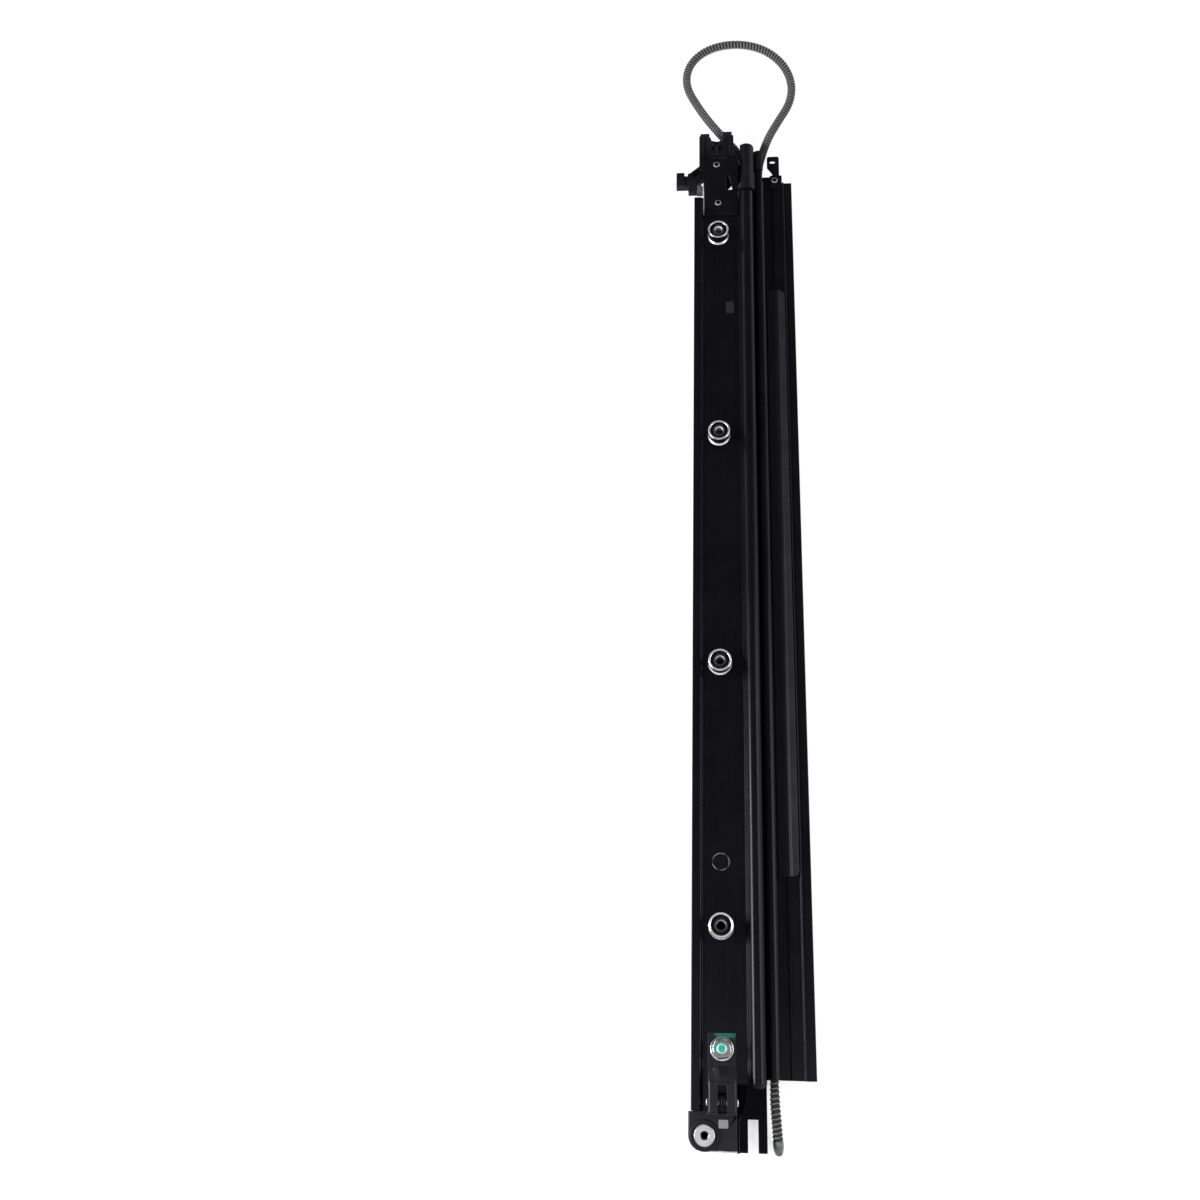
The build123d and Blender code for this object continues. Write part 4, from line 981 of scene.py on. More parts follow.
# The nut is painted darker within the flange's outer ring, as shade about the hex, with painted reflection rings.
NUT_ZINC = DabbedFinish(
    "zinc_nut_with_teal_dab", (0.60, 0.61, 0.63), (0.84, 0.84, 0.86), 0.14, 0.28,
    metallic=1.0, patch_scale=200.0, bump=0.14, axis=(17.8, 53.7, 20.0), inner=4.6, outer=5.8, centre_shade=0.5,
    rings=0.3, centre=(17.0, 54.3, 27.6), reach=(4.0, 4.0, 3.4), ragged=0.4,
)
STEEL_BARE = Finish(
    "dark_plated_steel", (0.16, 0.16, 0.17), (0.34, 0.34, 0.35), 0.25, 0.45,
    metallic=1.0, grain_scale=2600.0, patch_scale=200.0, bump=0.18, bump_depth=0.00003,
)
RUBBER = Finish(
    "moulded_rubber", (0.0048, 0.0048, 0.0052), (0.0095, 0.0095, 0.0100), 0.55, 0.75,
    specular=0.2, grain_scale=3600.0, patch_scale=150.0, bump=0.3, bump_depth=0.00004,
    dust=0.2, dust_colour=(0.06, 0.06, 0.06),
)
BLACK_PLASTIC = Finish(
    "black_moulded_plastic", (0.0036, 0.0034, 0.0042), (0.0068, 0.0065, 0.0078), 0.34, 0.5,
    specular=0.2, tint=COOL, grain_scale=4200.0, bump=0.25, bump_depth=0.00003,
    wear_and_highlight=(0.035, 0.035, 0.038), dust=0.14, scratch=0.08,
)
CARRIAGE_PLASTIC = Finish(
    "glass_filled_black_plastic", (0.0010, 0.0010, 0.0014), (0.0022, 0.0021, 0.0028), 0.3, 0.44,
    specular=0.07, tint=COOL, grain_scale=2200.0, patch_scale=120.0, bump=0.28, bump_depth=0.00004,
    wear_and_highlight=(0.03, 0.03, 0.033), dust=0.1, dust_colour=(0.06, 0.06, 0.06),
)
# The strip's lower thin part is painted dark as shade.
GREY_PLASTIC = ShadedWebFinish(
    "grey_moulded_strip", (0.0125, 0.0127, 0.0150), (0.0195, 0.0198, 0.0232), 0.36, 0.5,
    specular=0.22, tint=COOL, grain_scale=3200.0, patch_scale=60.0, lines=0.25, bump=0.18, bump_depth=0.00003,
    wear_and_highlight=(0.05, 0.05, 0.054), wear_and_highlight_strength=0.3, dust=0.12, dust_colour=(0.07, 0.07, 0.075),
)
PLUG_PLASTIC = Finish(
    "dark_moulded_plug", (0.0030, 0.0029, 0.0034), (0.0062, 0.0060, 0.0068), 0.3, 0.42,
    specular=0.2, grain_scale=3200.0, patch_scale=160.0, bump=0.18, bump_depth=0.00003,
    dust=0.1, dust_colour=(0.16, 0.16, 0.165),
)
DISC_PLASTIC = RimmedFinish(
    "black_plug_with_painted_rim_highlight", (0.0024, 0.0022, 0.0030), (0.0046, 0.0042, 0.0056), 0.3, 0.44,
    specular=0.17, tint=COOL, grain_scale=4200.0, bump=0.25, bump_depth=0.00003, dust=0.05,
)
# The bumper's rib edges are painted light as highlights.
WHITE_PLASTIC = Finish(
    "dulled_white_plastic", (0.055, 0.055, 0.056), (0.15, 0.15, 0.148), 0.35, 0.5,
    specular=0.3, grain_scale=2600.0, patch_scale=160.0, bump=0.15, bump_depth=0.00003,
    wear_and_highlight=(0.42, 0.42, 0.41), wear_and_highlight_strength=0.7,
)
FLOCK = FlockFinish(
    "flocked_wound_cable", (0.0072, 0.0064, 0.0071), (0.0185, 0.0170, 0.0184), 0.5, 0.85,
    specular=0.25, sheen=0.25, grain_scale=4200.0, bump=0.5, bump_depth=0.00010,
    crest=(0.190, 0.180, 0.190), crest_from=0.25, crest_full=0.6,
)
WORN_FLOCK = FlockFinish(
    "worn_wound_cable", (0.0060, 0.0056, 0.0058), (0.0210, 0.0200, 0.0205), 0.4, 0.85,
    specular=0.4, sheen=0.25, grain_scale=4200.0, bump=0.5, bump_depth=0.00010,
    crest=(0.34, 0.33, 0.33), crest_from=0.58,
)
FERRULE = Finish(
    "grey_green_tip", (0.070, 0.100, 0.088), (0.19, 0.24, 0.21), 0.4, 0.6,
    grain_scale=1900.0, patch_scale=420.0, bump=0.4, bump_depth=0.00006,
    wear_and_highlight=(0.3, 0.32, 0.31), wear_and_highlight_strength=0.6, dust=0.2, dust_colour=(0.16, 0.16, 0.165),
)
BOLT_TEAL = DabbedFinish(
    "teal_painted_bolt_end", (0.62, 0.64, 0.64), (0.86, 0.88, 0.88), 0.2, 0.34,
    metallic=0.6, grain_scale=1500.0, patch_scale=500.0, bump=0.3, bump_depth=0.00006,
    rings=0.0, centre=(17.7, 53.8, 27.6), reach=(2.2, 2.2, 8.0), ragged=0.12,
)


# What every sub-assembly shares


@dataclass(frozen=True)
class Part:
    """A piece that is made from its CAD node, and what it gets: a rounding in millimetres, a finish and a body.

    Folds get a wider rounding first. Reshape moves each point before that, and detail works on the rounded piece.
    """

    node: str
    name: str
    width: float
    finish: Finish
    slot: Slot
    body: Body = Body.TRACK
    segments: int = 2
    folds: tuple[Fold, ...] = ()
    reshape: Callable[[Vector], Vector] | None = None
    detail: Callable[[Piece], Piece] | None = None

    def made(self) -> Piece:
        """Makes the piece as one clean skin.

        Returns:
            The piece.
        """
        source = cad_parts[self.node]
        mesh = source.data.copy()
        mesh.transform(source.matrix_world)
        mesh.materials.clear()
        piece = placed(self.name, mesh)
        pick(piece)
        bpy.ops.object.mode_set(mode="EDIT")
        bpy.ops.mesh.select_all(action="SELECT")
        bpy.ops.mesh.remove_doubles(threshold=WELD_BELOW)
        bpy.ops.mesh.dissolve_limited(angle_limit=SAME_PLANE)
        bpy.ops.object.mode_set(mode="OBJECT")
        if self.reshape:
            for vertex in piece.data.vertices:
                vertex.co = self.reshape(vertex.co)
        for fold in self.folds:
            fold.round_off(piece)
        soften(piece, self.width, self.segments)
        return self.detail(piece) if self.detail else piece


class Assembly:
    """Builds each finish once, and makes, dresses and reports the pieces."""

    def __init__(self) -> None:
        """Builds the shared effects."""
        self.effects = Effects()
        self.materials: dict[str, Material] = {}

    def material(self, finish: Finish) -> Material:
        """Gives the material of a finish.

        Args:
            finish: The finish.

        Returns:
            The material.
        """
        if finish.name not in self.materials:
            self.materials[finish.name] = finish.build(self.effects)
        return self.materials[finish.name]

    def dress(self, piece: Piece, finish: Finish, node: str, body: Body = Body.TRACK) -> Piece:
        """Gives a new piece its finish and body, and hides the node that it stands for.

        Args:
            piece: The piece.
            finish: Its finish.
            node: The CAD node that it replaces.
            body: The body that it rides on.

        Returns:
            The piece.
        """
        piece.data.materials.clear()
        piece.data.materials.append(self.material(finish))
        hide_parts(node)
        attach(piece, body.value)
        log.info("piece %s stands for %s", piece.name, node)
        return piece

    def make(self, *parts: Part) -> None:
        """Makes and dresses pieces from their CAD nodes."""
        for part in parts:
            self.dress(part.made(), part.finish, part.node, part.body)

    def coat(self, node: str, finish: Finish) -> None:
        """Gives a CAD node a better material in its own slots.

        Args:
            node: The CAD node.
            finish: Its finish.
        """
        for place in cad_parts[node].material_slots:
            place.material = self.material(finish)
        log.info("node %s is coated with %s", node, finish.name)


# The studio


@dataclass(frozen=True)
class Shade:
    """Painted deep shade on the floor below the track: an oblong of the floor that is painted dark, whatever the light.
    """

    across: float
    along: float
    half_width: float
    half_length: float
    turn: float = 0.0
    amount: float = 1.0

    def mask(self, sheet: Sheet, here: Socket) -> Socket:
        """The oblong's mask, with a soft edge.

        Args:
            sheet: The floor's sheet.
            here: Object coordinates of the floor.

        Returns:
            The mask's socket.
        """
        near = sheet.feed(
            sheet.add("Mapping", here, vector_type="TEXTURE"), Location=tuple(spot(self.across, self.along, 0.0)),
            Rotation=(0.0, 0.0, math.radians(self.turn)), Scale=(MM, MM, MM),
        )
        sideways, lengthways = (
            sheet.sum("SUBTRACT", sheet.sum("ABSOLUTE", sheet.axis(near.outputs[0], axis)), half)
            for axis, half in enumerate((self.half_width, self.half_length))
        )
        return sheet.spread(sheet.sum("MAXIMUM", sideways, lengthways), 0.0, -0.5, 0.0, self.amount)


@dataclass
class Studio:
    """The camera, the floor and the light.

    Each lamp has a name, its place, the place that it points at, its size in metres and its power in watts.
    """

    eye: Triple = (20.00, 27.63, 805.49)
    aim: Triple = (0.36893, 0.09103, 0.02964)
    focal: float = 1287.94
    floor_size: float = 14.0
    # Oblongs of painted shade, where the floor is seen through openings and beside the ends.
    shades: tuple[Shade, ...] = (
        Shade(17.0, 289.0, 16.8, 270.0),
        Shade(17.0, 567.5, 16.8, 9.5, 0.0, 0.972),
        Shade(17.0, 613.5, 16.8, 37.5),
        Shade(7.5, 7.1, 3.6, 3.6),
        Shade(18.5, 13.8, 4.5, 4.0, 0.0, 0.72),
        Shade(26.9, 9.4, 1.2, 11.6),
        Shade(22.3, 677.0, 12.0, 6.0, 49.6),
        Shade(31.4, 678.0, 3.6, 21.0),
    )
    lamps: tuple[tuple[str, Triple, Triple, Span, float], ...] = (
        ("rear_softbox", (30.0, -300.0, 1250.0), (30.0, 50.0, 0.0), (1.0, 0.85), 2.6),
        ("left_strip", (-1000.0, 170.0, 640.0), (30.0, 170.0, 0.0), (0.8, 0.25), 19.0),
        ("right_box", (1000.0, 250.0, 720.0), (30.0, 250.0, 0.0), (0.95, 0.6), 7.0),
    )

    def camera(self) -> None:
        """Sets the camera at the photograph's viewing angle."""
        lens = bpy.data.cameras.new("photo_camera")
        tune(lens, sensor_width=36.0, clip_start=0.01, clip_end=100.0)
        lens.lens = self.focal * lens.sensor_width / PHOTO_WIDTH
        eye = placed("photo_camera", lens)
        tune(eye, location=spot(*self.eye), rotation_euler=self.aim)
        bpy.context.scene.camera = eye

    def floor(self) -> None:
        """Lays the pale floor that the track rests on. The eye, mirrors and glass see it brighter."""
        clear_selection()
        bpy.ops.mesh.primitive_plane_add(size=self.floor_size, location=(0, 0, -0.00002))
        floor = bpy.context.object
        floor.name = "studio_floor"
        material = bpy.data.materials.new("pale_floor")
        sheet = empty_sheet(material)
        # The glow is dimmed by ambient occlusion near the track, a painted contact shadow, and by the oblongs of
        # painted shade.
        open_sky = sheet.feed(sheet.add("AmbientOcclusion", samples=8), Distance=0.02).outputs["AO"]
        here = sheet.here()
        deep: object = 0.0
        for patch in self.shades:
            deep = sheet.sum("MAXIMUM", deep, patch.mask(sheet, here))
        strength = sheet.times(sheet.spread(open_sky, 0.03, 0.26, 0.0, 0.86), sheet.sum("SUBTRACT", 1.0, deep))
        shade = sheet.add("BsdfDiffuse", sheet.blend(deep, (0.3, 0.3, 0.3), (0.0, 0.0, 0.0)))
        dim, glow = (
            sheet.feed(sheet.add("Emission"), Color=(tone, tone, tone, 1.0), Strength=power).outputs[0]
            for tone, power in ((0.55, 1.0), (1.0, strength))
        )
        rays = sheet.add("LightPath").outputs
        seen = sheet.sum("MAXIMUM", rays["Is Camera Ray"], rays["Is Glossy Ray"])
        seen = sheet.sum("MAXIMUM", seen, rays["Is Transmission Ray"])
        either = sheet.add("MixShader", seen, dim, glow)
        both = sheet.add("AddShader", shade.outputs[0], either.outputs[0])
        sheet.add("OutputMaterial", both.outputs[0])
        floor.data.materials.append(material)

    def light(self) -> None:
        """Sets the soft room light and the lamps."""
        world = bpy.data.worlds.new("studio_room")
        bpy.context.scene.world = world
        sheet = empty_sheet(world)
        walls = sheet.spread(sheet.axis(sheet.here("Generated"), 2), 0.28, 0.62, 1.0, 0.12)
        glow = sheet.feed(sheet.add("Background"), Color=(0.98, 0.975, 1.0, 1.0), Strength=walls)
        sheet.add("OutputWorld", glow.outputs[0])
        for name, place, target, size, power in self.lamps:
            data = bpy.data.lights.new(name, "AREA")
            tune(data, shape="RECTANGLE", size=size[0], size_y=size[1], energy=power)
            lamp = placed(name, data)
            lamp.location = spot(*place)
            lamp.rotation_euler = (spot(*target) - spot(*place)).to_track_quat("-Z", "Y").to_euler()


# Sub-assemblies


@dataclass(frozen=True)
class FreeEnd:
    """A free run of the drive cable, in millimetres.

    Held is how far each end's flock is pressed flat by its tube, and the span after it how far each end is painted dark
    as shade, where it runs in under the hood and the guide block.
    """

    name: str
    route: tuple[Triple, ...]
    radius: float
    sharpness: float
    held: Span
    shaded_ends: Span = (0.0, 0.0)
    pressed: float = 2.8
    rib: float = 0.5
    pitch: float = 2.62
    loosening: float = 8.0
    shade_fade: float = 4.0
    sides: int = 20
    steps: int = 84

    def line(self) -> list[Vector]:
        """Reads the smooth line of the route.

        Returns:
            The points of the NURBS spline, in metres.
        """
        curve = bpy.data.curves.new(f"{self.name}_line", "CURVE")
        tune(curve, dimensions="3D", resolution_u=self.steps)
        spline = curve.splines.new("NURBS")
        spline.points.add(len(self.route) - 1)
        for point, place in zip(spline.points, self.route):
            point.co = (*spot(*place), 1.0)
        spline.order_u = 3
        spline.use_endpoint_u = True
        holder = placed(curve.name, curve)
        bpy.context.view_layer.update()
        mesh = bpy.data.meshes.new_from_object(holder)
        points = [vertex.co.copy() for vertex in mesh.vertices]
        bpy.data.objects.remove(holder)
        bpy.data.meshes.remove(mesh)
        return points

    def skin(self, line: list[Vector]) -> Piece:
        """Winds the ribbed skin round the line.

        Args:
            line: The points that it follows, in metres.

        Returns:
            The cable as one mesh tube.
        """
        ways = [(line[min(i + 1, len(line) - 1)] - line[max(i - 1, 0)]).normalized() for i in range(len(line))]
        side = ways[0].orthogonal().normalized()
        total = sum((far - near).length for near, far in zip(line, line[1:]))
        points, ribs, end_shade, run = [], [], [], 0.0
        for index, (centre, way) in enumerate(zip(line, ways)):
            side = (side - way * side.dot(way)).normalized()
            other = way.cross(side)
            if index:
                run += (centre - line[index - 1]).length
            off_ends = (run / MM, (total - run) / MM)
            loose = [max(0.0, off - grip) / self.loosening for grip, off in zip(self.held, off_ends) if grip]
            full = self.pressed + (self.radius - self.pressed) * min([1.0, *loose])
            # How dark each end is painted, as shade, fading over a few millimetres.
            dark = [(reach - off) / self.shade_fade for reach, off in zip(self.shaded_ends, off_ends) if reach]
            end_shade += [min(1.0, max([0.0, *dark]))] * self.sides
            for step in range(self.sides):
                angle = 2 * math.pi * step / self.sides
                phase = run / (self.pitch * MM) - step / self.sides
                crest = max(0.0, 0.5 + 0.5 * math.cos(2 * math.pi * phase)) ** self.sharpness
                out = (full - self.rib * (1.0 - crest)) * MM
                points.append(centre + (side * math.cos(angle) + other * math.sin(angle)) * out)
                ribs.append(crest)
        last = (len(line) - 1) * self.sides
        faces = [
            (row + step, row + beside, row + self.sides + beside, row + self.sides + step)
            for row in range(0, last, self.sides)
            for step, beside in ((step, (step + 1) % self.sides) for step in range(self.sides))
        ]
        faces += [tuple(reversed(range(self.sides))), tuple(range(last, last + self.sides))]
        mesh = bpy.data.meshes.new(self.name)
        mesh.from_pydata(points, [], faces)
        mark(mesh, "rib", ribs)
        mark(mesh, "end_shade", end_shade)
        piece = placed(self.name, mesh)
        pick(piece)
        bpy.ops.object.shade_smooth_by_angle(angle=math.radians(60))
        return piece


@dataclass
class DriveCable:
    """The free loop in front and the free tail behind, with its crimped tip."""

    ferrule_length: float = 8.4
    tip_radius: float = 2.1
    rings: int = 4
    ring_pitch: float = 0.95
    loop: FreeEnd = FreeEnd(
        "free_cable_loop",
        (
            (47.6, 664.0, 13.5), (47.6, 680.0, 13.5), (54.2, 705.5, 12.0), (63.5, 727.5, 7.4), (73.0, 747.0, 4.2),
            (75.6, 766.5, 3.2), (70.0, 786.0, 3.2), (56.5, 801.8, 3.2), (38.5, 809.6, 3.2), (18.5, 809.2, 3.2),
            (2.5, 800.6, 3.2), (-6.5, 786.0, 3.2), (-7.0, 768.0, 3.6), (0.5, 748.5, 6.6), (10.0, 727.5, 11.4),
            (21.0, 708.0, 15.4), (32.5, 692.0, 16.6), (38.4, 676.0, 17.6), (38.4, 660.0, 17.6),
        ),
        3.2, 1.6, (18.0, 18.0), (39.0, 49.0),
    )
    tail: FreeEnd = FreeEnd(
        "free_cable_tail", ((47.6, 37.8, 13.5), (47.6, 27.0, 13.5), (48.4, 16.5, 10.9), (49.3, 5.6, 5.9)),
        3.05, 3.2, (2.6, 0.0),
    )

    def tip(self, end: Vector) -> Piece:
        """Turns the crimped tip at the tail's end.

        Args:
            end: The end of the tail's line.

        Returns:
            The tip.
        """
        length, body, nose = self.ferrule_length, self.tail.radius, self.tip_radius
        profile = [(0.4, 0.0), (body - 0.25, 0.0)]
        for turn in range(self.rings):
            start = 0.25 + turn * self.ring_pitch
            profile += [(body, start), (body, start + 0.42), (body - 0.22, start + 0.56), (body - 0.22, start + 0.82)]
        profile += [
            (body - 0.1, length * 0.52), (nose + 0.35, length * 0.78), (nose, length * 0.92), (nose - 0.7, length),
            (0.4, length),
        ]
        tip = turned("cable_tip", profile, 40, capped=True, rounding=0.12)
        heading = (spot(*self.tail.route[-1]) - spot(*self.tail.route[-2])).normalized()
        tune(tip, rotation_mode="QUATERNION", rotation_quaternion=heading.to_track_quat("Z", "Y"), location=end)
        settle(tip)
        return tip

    def build(self, assembly: Assembly) -> None:
        """Args:
            assembly: Dresses the pieces.
        """
        line = self.loop.line()
        loop = assembly.dress(self.loop.skin(line), FLOCK, "cable_loop")
        line = self.tail.line()
        tail = assembly.dress(self.tail.skin(line), WORN_FLOCK, "cable_tail")
        tip = assembly.dress(self.tip(line[-1]), FERRULE, "cable_ferrule")


@dataclass
class Rail:
    """The extruded rail, its flush plug and the strip in its outer trough."""

    rounding: float = 0.22
    moulded_rounding: float = 0.3
    folds: tuple[Fold, ...] = (Fold((5.0, -5.0, 19.2), (5.9, 700.0, 20.0), 0.9),)

    def build(self, assembly: Assembly) -> None:
        """Makes the rail's pieces.

        Args:
            assembly: Dresses the pieces.
        """
        assembly.make(
            Part("guide_rail", "extruded_rail", self.rounding, RAIL, Slot.RAIL, segments=3, folds=self.folds),
            Part("runner_strip", "trough_strip", self.moulded_rounding, GREY_PLASTIC, Slot.GREY_PLASTIC),
            Part("hole_plug", "flush_plug", self.moulded_rounding, DISC_PLASTIC, Slot.BLACK_PLASTIC),
        )


@dataclass
class Bushes:
    """The four mounting bushes: collar, rubber and sleeve."""

    count: int = 4
    across: float = 17.6
    first: float = 122.5
    pitch: float = 164.4
    foot: float = 7.65
    ring: float = 7.5
    waist: float = 6.5
    bore: float = 5.9
    spigot: float = 6.25
    lip: float = 6.8
    height: float = 8.7
    wall: float = 2.0
    sleeve: float = 4.0
    sleeve_bore: float = 2.75

    def collar(self) -> Piece:
        """Turns the swaged collar: a sloped foot, a waist and a rolled rim.

        Returns:
            The collar.
        """
        under, rim = -self.wall - 0.7, (self.ring - self.bore) / 2
        crown = self.height - rim
        profile = [
            (self.bore, under), (self.lip, under), (self.lip, -self.wall), (self.spigot, -self.wall),
            (self.spigot, 0.0), (self.foot, 0.0), (self.foot, 0.45), (self.foot - 0.35, 0.85),
            (self.waist + 0.3, 1.35), (self.waist, 1.75), (self.waist, self.height - 2.9),
            (self.waist + 0.35, self.height - 2.4), (self.ring - 0.1, self.height - 1.7),
        ]
        for step in range(9):
            angle = math.pi * step / 8
            profile.append((self.bore + rim + rim * math.cos(angle), crown + rim * math.sin(angle)))
        return turned("bush_collar_model", profile, 72, rounding=0.06)

    def rubber(self) -> Piece:
        """Turns the rubber with its moulded rings.

        Returns:
            The rubber.
        """
        inner, outer, top = self.sleeve + 0.05, self.bore - 0.05, self.height - 1.6
        return turned("bush_rubber_model", [
            (inner, -self.wall - 0.5), (outer, -self.wall - 0.5), (outer, top - 0.5), (outer - 0.25, top - 0.12),
            (outer - 0.55, top), (outer - 0.75, top - 0.35), (outer - 0.95, top - 0.05), (inner + 0.75, top - 0.05),
            (inner + 0.6, top - 0.3), (inner + 0.4, top), (inner + 0.15, top + 0.3), (inner, top + 0.45),
        ], 72, rounding=0.08)

    def sleeve_tube(self) -> Piece:
        """Turns the inner sleeve to the CAD node's own heights.

        Returns:
            The sleeve.
        """
        low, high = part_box("bush_sleeve_1")
        low_z, high_z = low[2] / MM - FLANGE_TOP, high[2] / MM - FLANGE_TOP
        bore = self.sleeve_bore
        return turned("bush_sleeve_model", [
            (bore, low_z), (self.sleeve, low_z), (self.sleeve, high_z - 0.3), (self.sleeve - 0.12, high_z - 0.05),
            (self.sleeve - 0.3, high_z), (bore + 0.35, high_z), (bore + 0.06, high_z - 0.45), (bore, high_z - 0.9),
            (bore, high_z - 5.0),
        ])

    def build(self, assembly: Assembly) -> None:
        """Models each piece once and copies it to the four places.

        Args:
            assembly: Dresses the pieces.
        """
        for name, model, finish, slot, bore in (
            ("collar", self.collar(), COLLAR_ZINC, Slot.ZINC, self.bore + 0.05),
            ("rubber", self.rubber(), RUBBER, Slot.RUBBER, self.sleeve_bore + 0.2),
            ("sleeve", self.sleeve_tube(), SLEEVE_STEEL, Slot.ZINC, self.sleeve_bore + 0.2),
        ):
            # The bores of the collar, rubber and sleeve are marked for painted shade.
            mark_shaded_bore(model, bore)
            for index in range(self.count):
                place = spot(self.across, self.first + index * self.pitch, FLANGE_TOP)
                twin = copied(model, f"mount_{name}_{index + 1}", place)
                assembly.dress(twin, finish, f"bush_{name}_{index + 1}")
            bpy.data.objects.remove(model)


@dataclass
class FrontEnd:
    """The folded bracket, guide block, hood, tab, lever and rivets at the front."""

    sheet_rounding: float = 0.22
    moulded_rounding: float = 0.28
    small_rounding: float = 0.15
    rivet_head: float = 2.7
    rivet_bore: float = 1.3
    rivet_rise: float = 0.8
    rivet_shank: float = 1.88
    clip_slots: Span = (13.9, 19.4)
    clip_half_width: float = 1.15
    bracket_folds: tuple[Fold, ...] = (Fold((6.2, 620.0, 19.2), (7.2, 690.0, 26.0), 0.7),)
    hood_folds: tuple[Fold, ...] = (Fold((33.0, 650.0, 21.0), (55.0, 700.0, 25.0), 0.5, 4),)

    def rivet(self, node: str) -> Piece:
        """Turns a hollow rivet with a rolled head to its CAD node's place.

        Args:
            node: The CAD node.

        Returns:
            The rivet.
        """
        low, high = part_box(node)
        span = (high[2] - low[2]) / MM
        middle = Vector(((low[0] + high[0]) / 2, (low[1] + high[1]) / 2, low[2]))
        head, bore, rise, shank = self.rivet_head, self.rivet_bore, self.rivet_rise, self.rivet_shank
        piece = turned(f"hollow_{node}", [
            (bore, 0.0), (head - 0.5, 0.0), (head - 0.3, 0.4), (head - 0.25, 0.68), (shank, 0.7),
            (shank, span - rise), (head, span - rise), (head - 0.1, span - rise * 0.7), (head - 0.55, span - 0.3),
            (head - 0.8, span - 0.06), (head - 0.95, span), (bore + 0.25, span), (bore + 0.08, span - 0.1),
            (bore, span - 0.4),
        ], 48)
        piece.location = middle
        settle(piece)
        # The rivet's bore and the outer edge of its head are painted dark as shade.
        mark_shaded_bore(piece, bore + 0.28, middle, head - 0.4)
        return piece

    def clips(self, block: Piece) -> Piece:
        """Cuts the block's two clip slots, and closes the throat below its mouth with a dark plate that stands in for
        the shade seen there.

        Args:
            block: The guide block.

        Returns:
            The block.
        """
        # The throat plate is a dark sheet that stands in for shade below the mouth.
        details = [solid("throat_shade_plate", (11.4, 690.5, 18.8), (21.7, 699.6, 20.6))]
        for across in self.clip_slots:
            left, right = across - self.clip_half_width, across + self.clip_half_width
            carved(block, solid("slot_cutter", (left, 686.2, 21.0), (right, 692.9, 26.0)))
            bend = (across, 691.2, 22.5)
            details.append(solid("clip_leg", (across, 686.0, 22.9), bend, wire=True))
            details.append(solid("clip_end", bend, (across - 0.25, 695.6, 21.2), wire=True))
        return joined(block, *details)

    def bead(self, bracket: Piece) -> Piece:
        """Presses the fine bead across the bracket's front part."""
        return joined(bracket, solid("front_bead", (10.6, 680.9, 24.75), (24.8, 680.9, 24.75), wire=True))

    def build(self, assembly: Assembly) -> None:
        """Makes the front end's pieces.

        Args:
            assembly: Dresses the pieces.
        """
        sheet, moulded, small = self.sheet_rounding, self.moulded_rounding, self.small_rounding
        moulding = (moulded, BLACK_PLASTIC, Slot.BLACK_PLASTIC)
        assembly.make(
            Part(
                "front_bracket", "stepped_bracket", sheet, HIGHLIT_FOLD_STEEL, Slot.BLACK_STEEL,
                folds=self.bracket_folds, detail=self.bead,
            ),
            Part("cable_guide_block", "guide_block", *moulding, detail=self.clips),
            Part("tube_hood", "hood", *moulding, folds=self.hood_folds),
            Part("tab_plate", "trough_tab", sheet, STEEL, Slot.BLACK_STEEL),
            Part("front_lever", "side_lever", *moulding, Body.LEVER),
            Part("lever_bumper", "ribbed_bumper", small, WHITE_PLASTIC, Slot.WHITE_PLASTIC, Body.LEVER),
            Part("lever_pin", "shouldered_pin", small, ZINC, Slot.ZINC),
        )
        for node in ("rail_rivet", "guide_rivet", "tab_rivet"):
            assembly.dress(self.rivet(node), RIVET_ZINC, node)


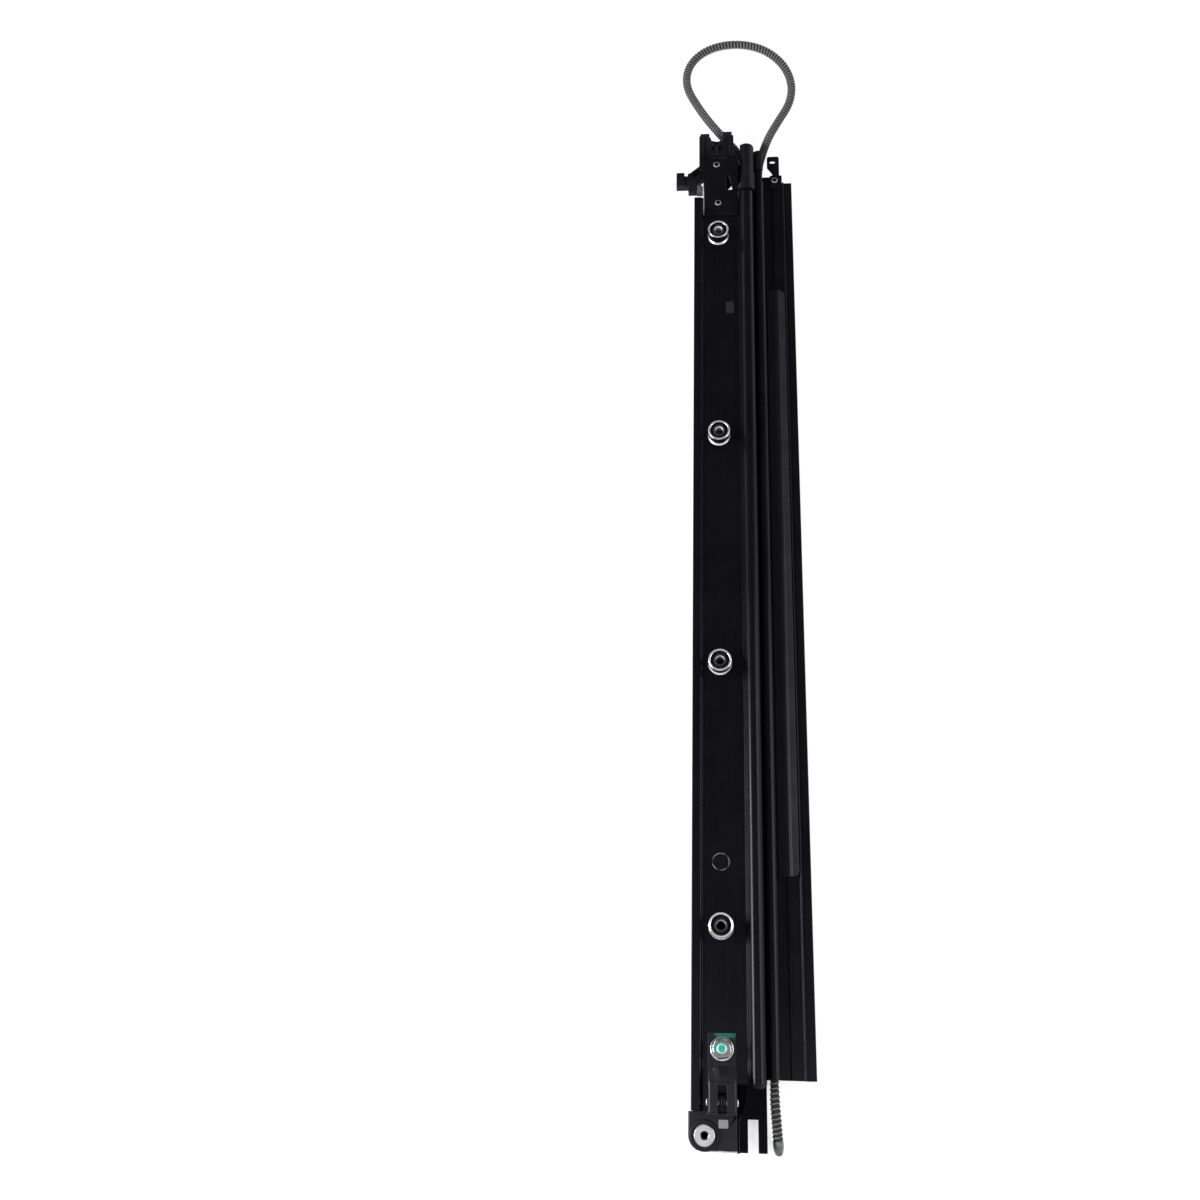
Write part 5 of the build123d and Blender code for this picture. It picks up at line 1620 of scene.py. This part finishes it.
@dataclass
class RearEnd:
    """The rear bracket with its bolt and nut, roller, grommet and sleeve."""

    sheet_rounding: float = 0.22
    nut_rounding: float = 0.25
    turned_rounding: float = 0.2
    small_rounding: float = 0.15
    grommet_rounding: float = 0.3
    folds: tuple[Fold, ...] = (Fold((8.0, 17.9, 28.5), (28.0, 18.9, 29.5), 0.9),)
    flange_foot: float = 20.5
    flange_head: float = 22.4
    flattening: float = 0.28

    def flat_flange(self, place: Vector) -> Vector:
        """Lays the nut's flange flatter, as it is cold formed.

        Args:
            place: A point of the nut, in metres.

        Returns:
            The point, lower when it is on the flange's cone.
        """
        low, high = (spot(0.0, 0.0, height).z for height in (self.flange_foot, self.flange_head))
        if low < place.z < high:
            return Vector((place.x, place.y, low + (place.z - low) * self.flattening))
        return place

    def build(self, assembly: Assembly) -> None:
        """Makes the rear end's pieces.

        Args:
            assembly: Dresses the pieces.
        """
        round_one, small = self.turned_rounding, self.small_rounding
        assembly.make(
            Part("rear_bracket", "pressed_bracket", self.sheet_rounding, PAD_STEEL, Slot.BLACK_STEEL, folds=self.folds),
            Part("bracket_nut", "flange_nut", self.nut_rounding, NUT_ZINC, Slot.TEAL, reshape=self.flat_flange),
            Part("bracket_bolt", "pushed_bolt", round_one, BOLT_TEAL, Slot.TEAL),
            Part("hump_roller", "grooved_roller", small, BLACK_PLASTIC, Slot.BLACK_PLASTIC, Body.ROLLER),
            Part("roller_pin", "cross_pin", round_one, ZINC, Slot.ZINC),
            Part("rear_grommet", "end_grommet", self.grommet_rounding, RUBBER, Slot.RUBBER),
            Part("rear_sleeve", "flanged_sleeve", round_one, END_ZINC, Slot.ZINC),
            Part("drive_tube_plug", "domed_plug", small, PLUG_PLASTIC, Slot.GREY_PLASTIC),
        )


@dataclass
class Carriage:
    """The carriage under the flange, its shoes and the driver."""

    rounding: float = 0.3
    driver_rounding: float = 0.1
    shoe_rounding: float = 0.25
    shoes: int = 4

    def build(self, assembly: Assembly) -> None:
        """Makes the carriage's pieces and coats the hidden cable runs.

        Args:
            assembly: Dresses the pieces.
        """
        ride = Body.CARRIAGE
        assembly.make(
            Part("carriage_body", "carriage_frame", self.rounding, CARRIAGE_PLASTIC, Slot.BLACK_PLASTIC, ride),
            Part("cable_driver", "toothed_driver", self.driver_rounding, STEEL_BARE, Slot.ZINC, ride),
        )
        shoe = (self.shoe_rounding, WHITE_PLASTIC, Slot.WHITE_PLASTIC, ride)
        for index in range(1, self.shoes + 1):
            assembly.make(Part(f"guide_shoe_{index}", f"sliding_shoe_{index}", *shoe))
        for node in ("drive_cable_run", "return_cable_run"):
            assembly.coat(node, FLOCK)


def main() -> None:
    """Builds the studio, the cables and every sub-assembly in order."""
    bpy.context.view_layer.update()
    studio = Studio()
    studio.camera()
    assembly = Assembly()
    for group in (DriveCable(), Rail(), Bushes(), FrontEnd(), RearEnd(), Carriage()):
        group.build(assembly)
    studio.floor()
    studio.light()
    bpy.context.scene.view_settings.view_transform = "Standard"
    clear_selection()
    bpy.context.view_layer.update()


if __name__ == "__main__":
    main()
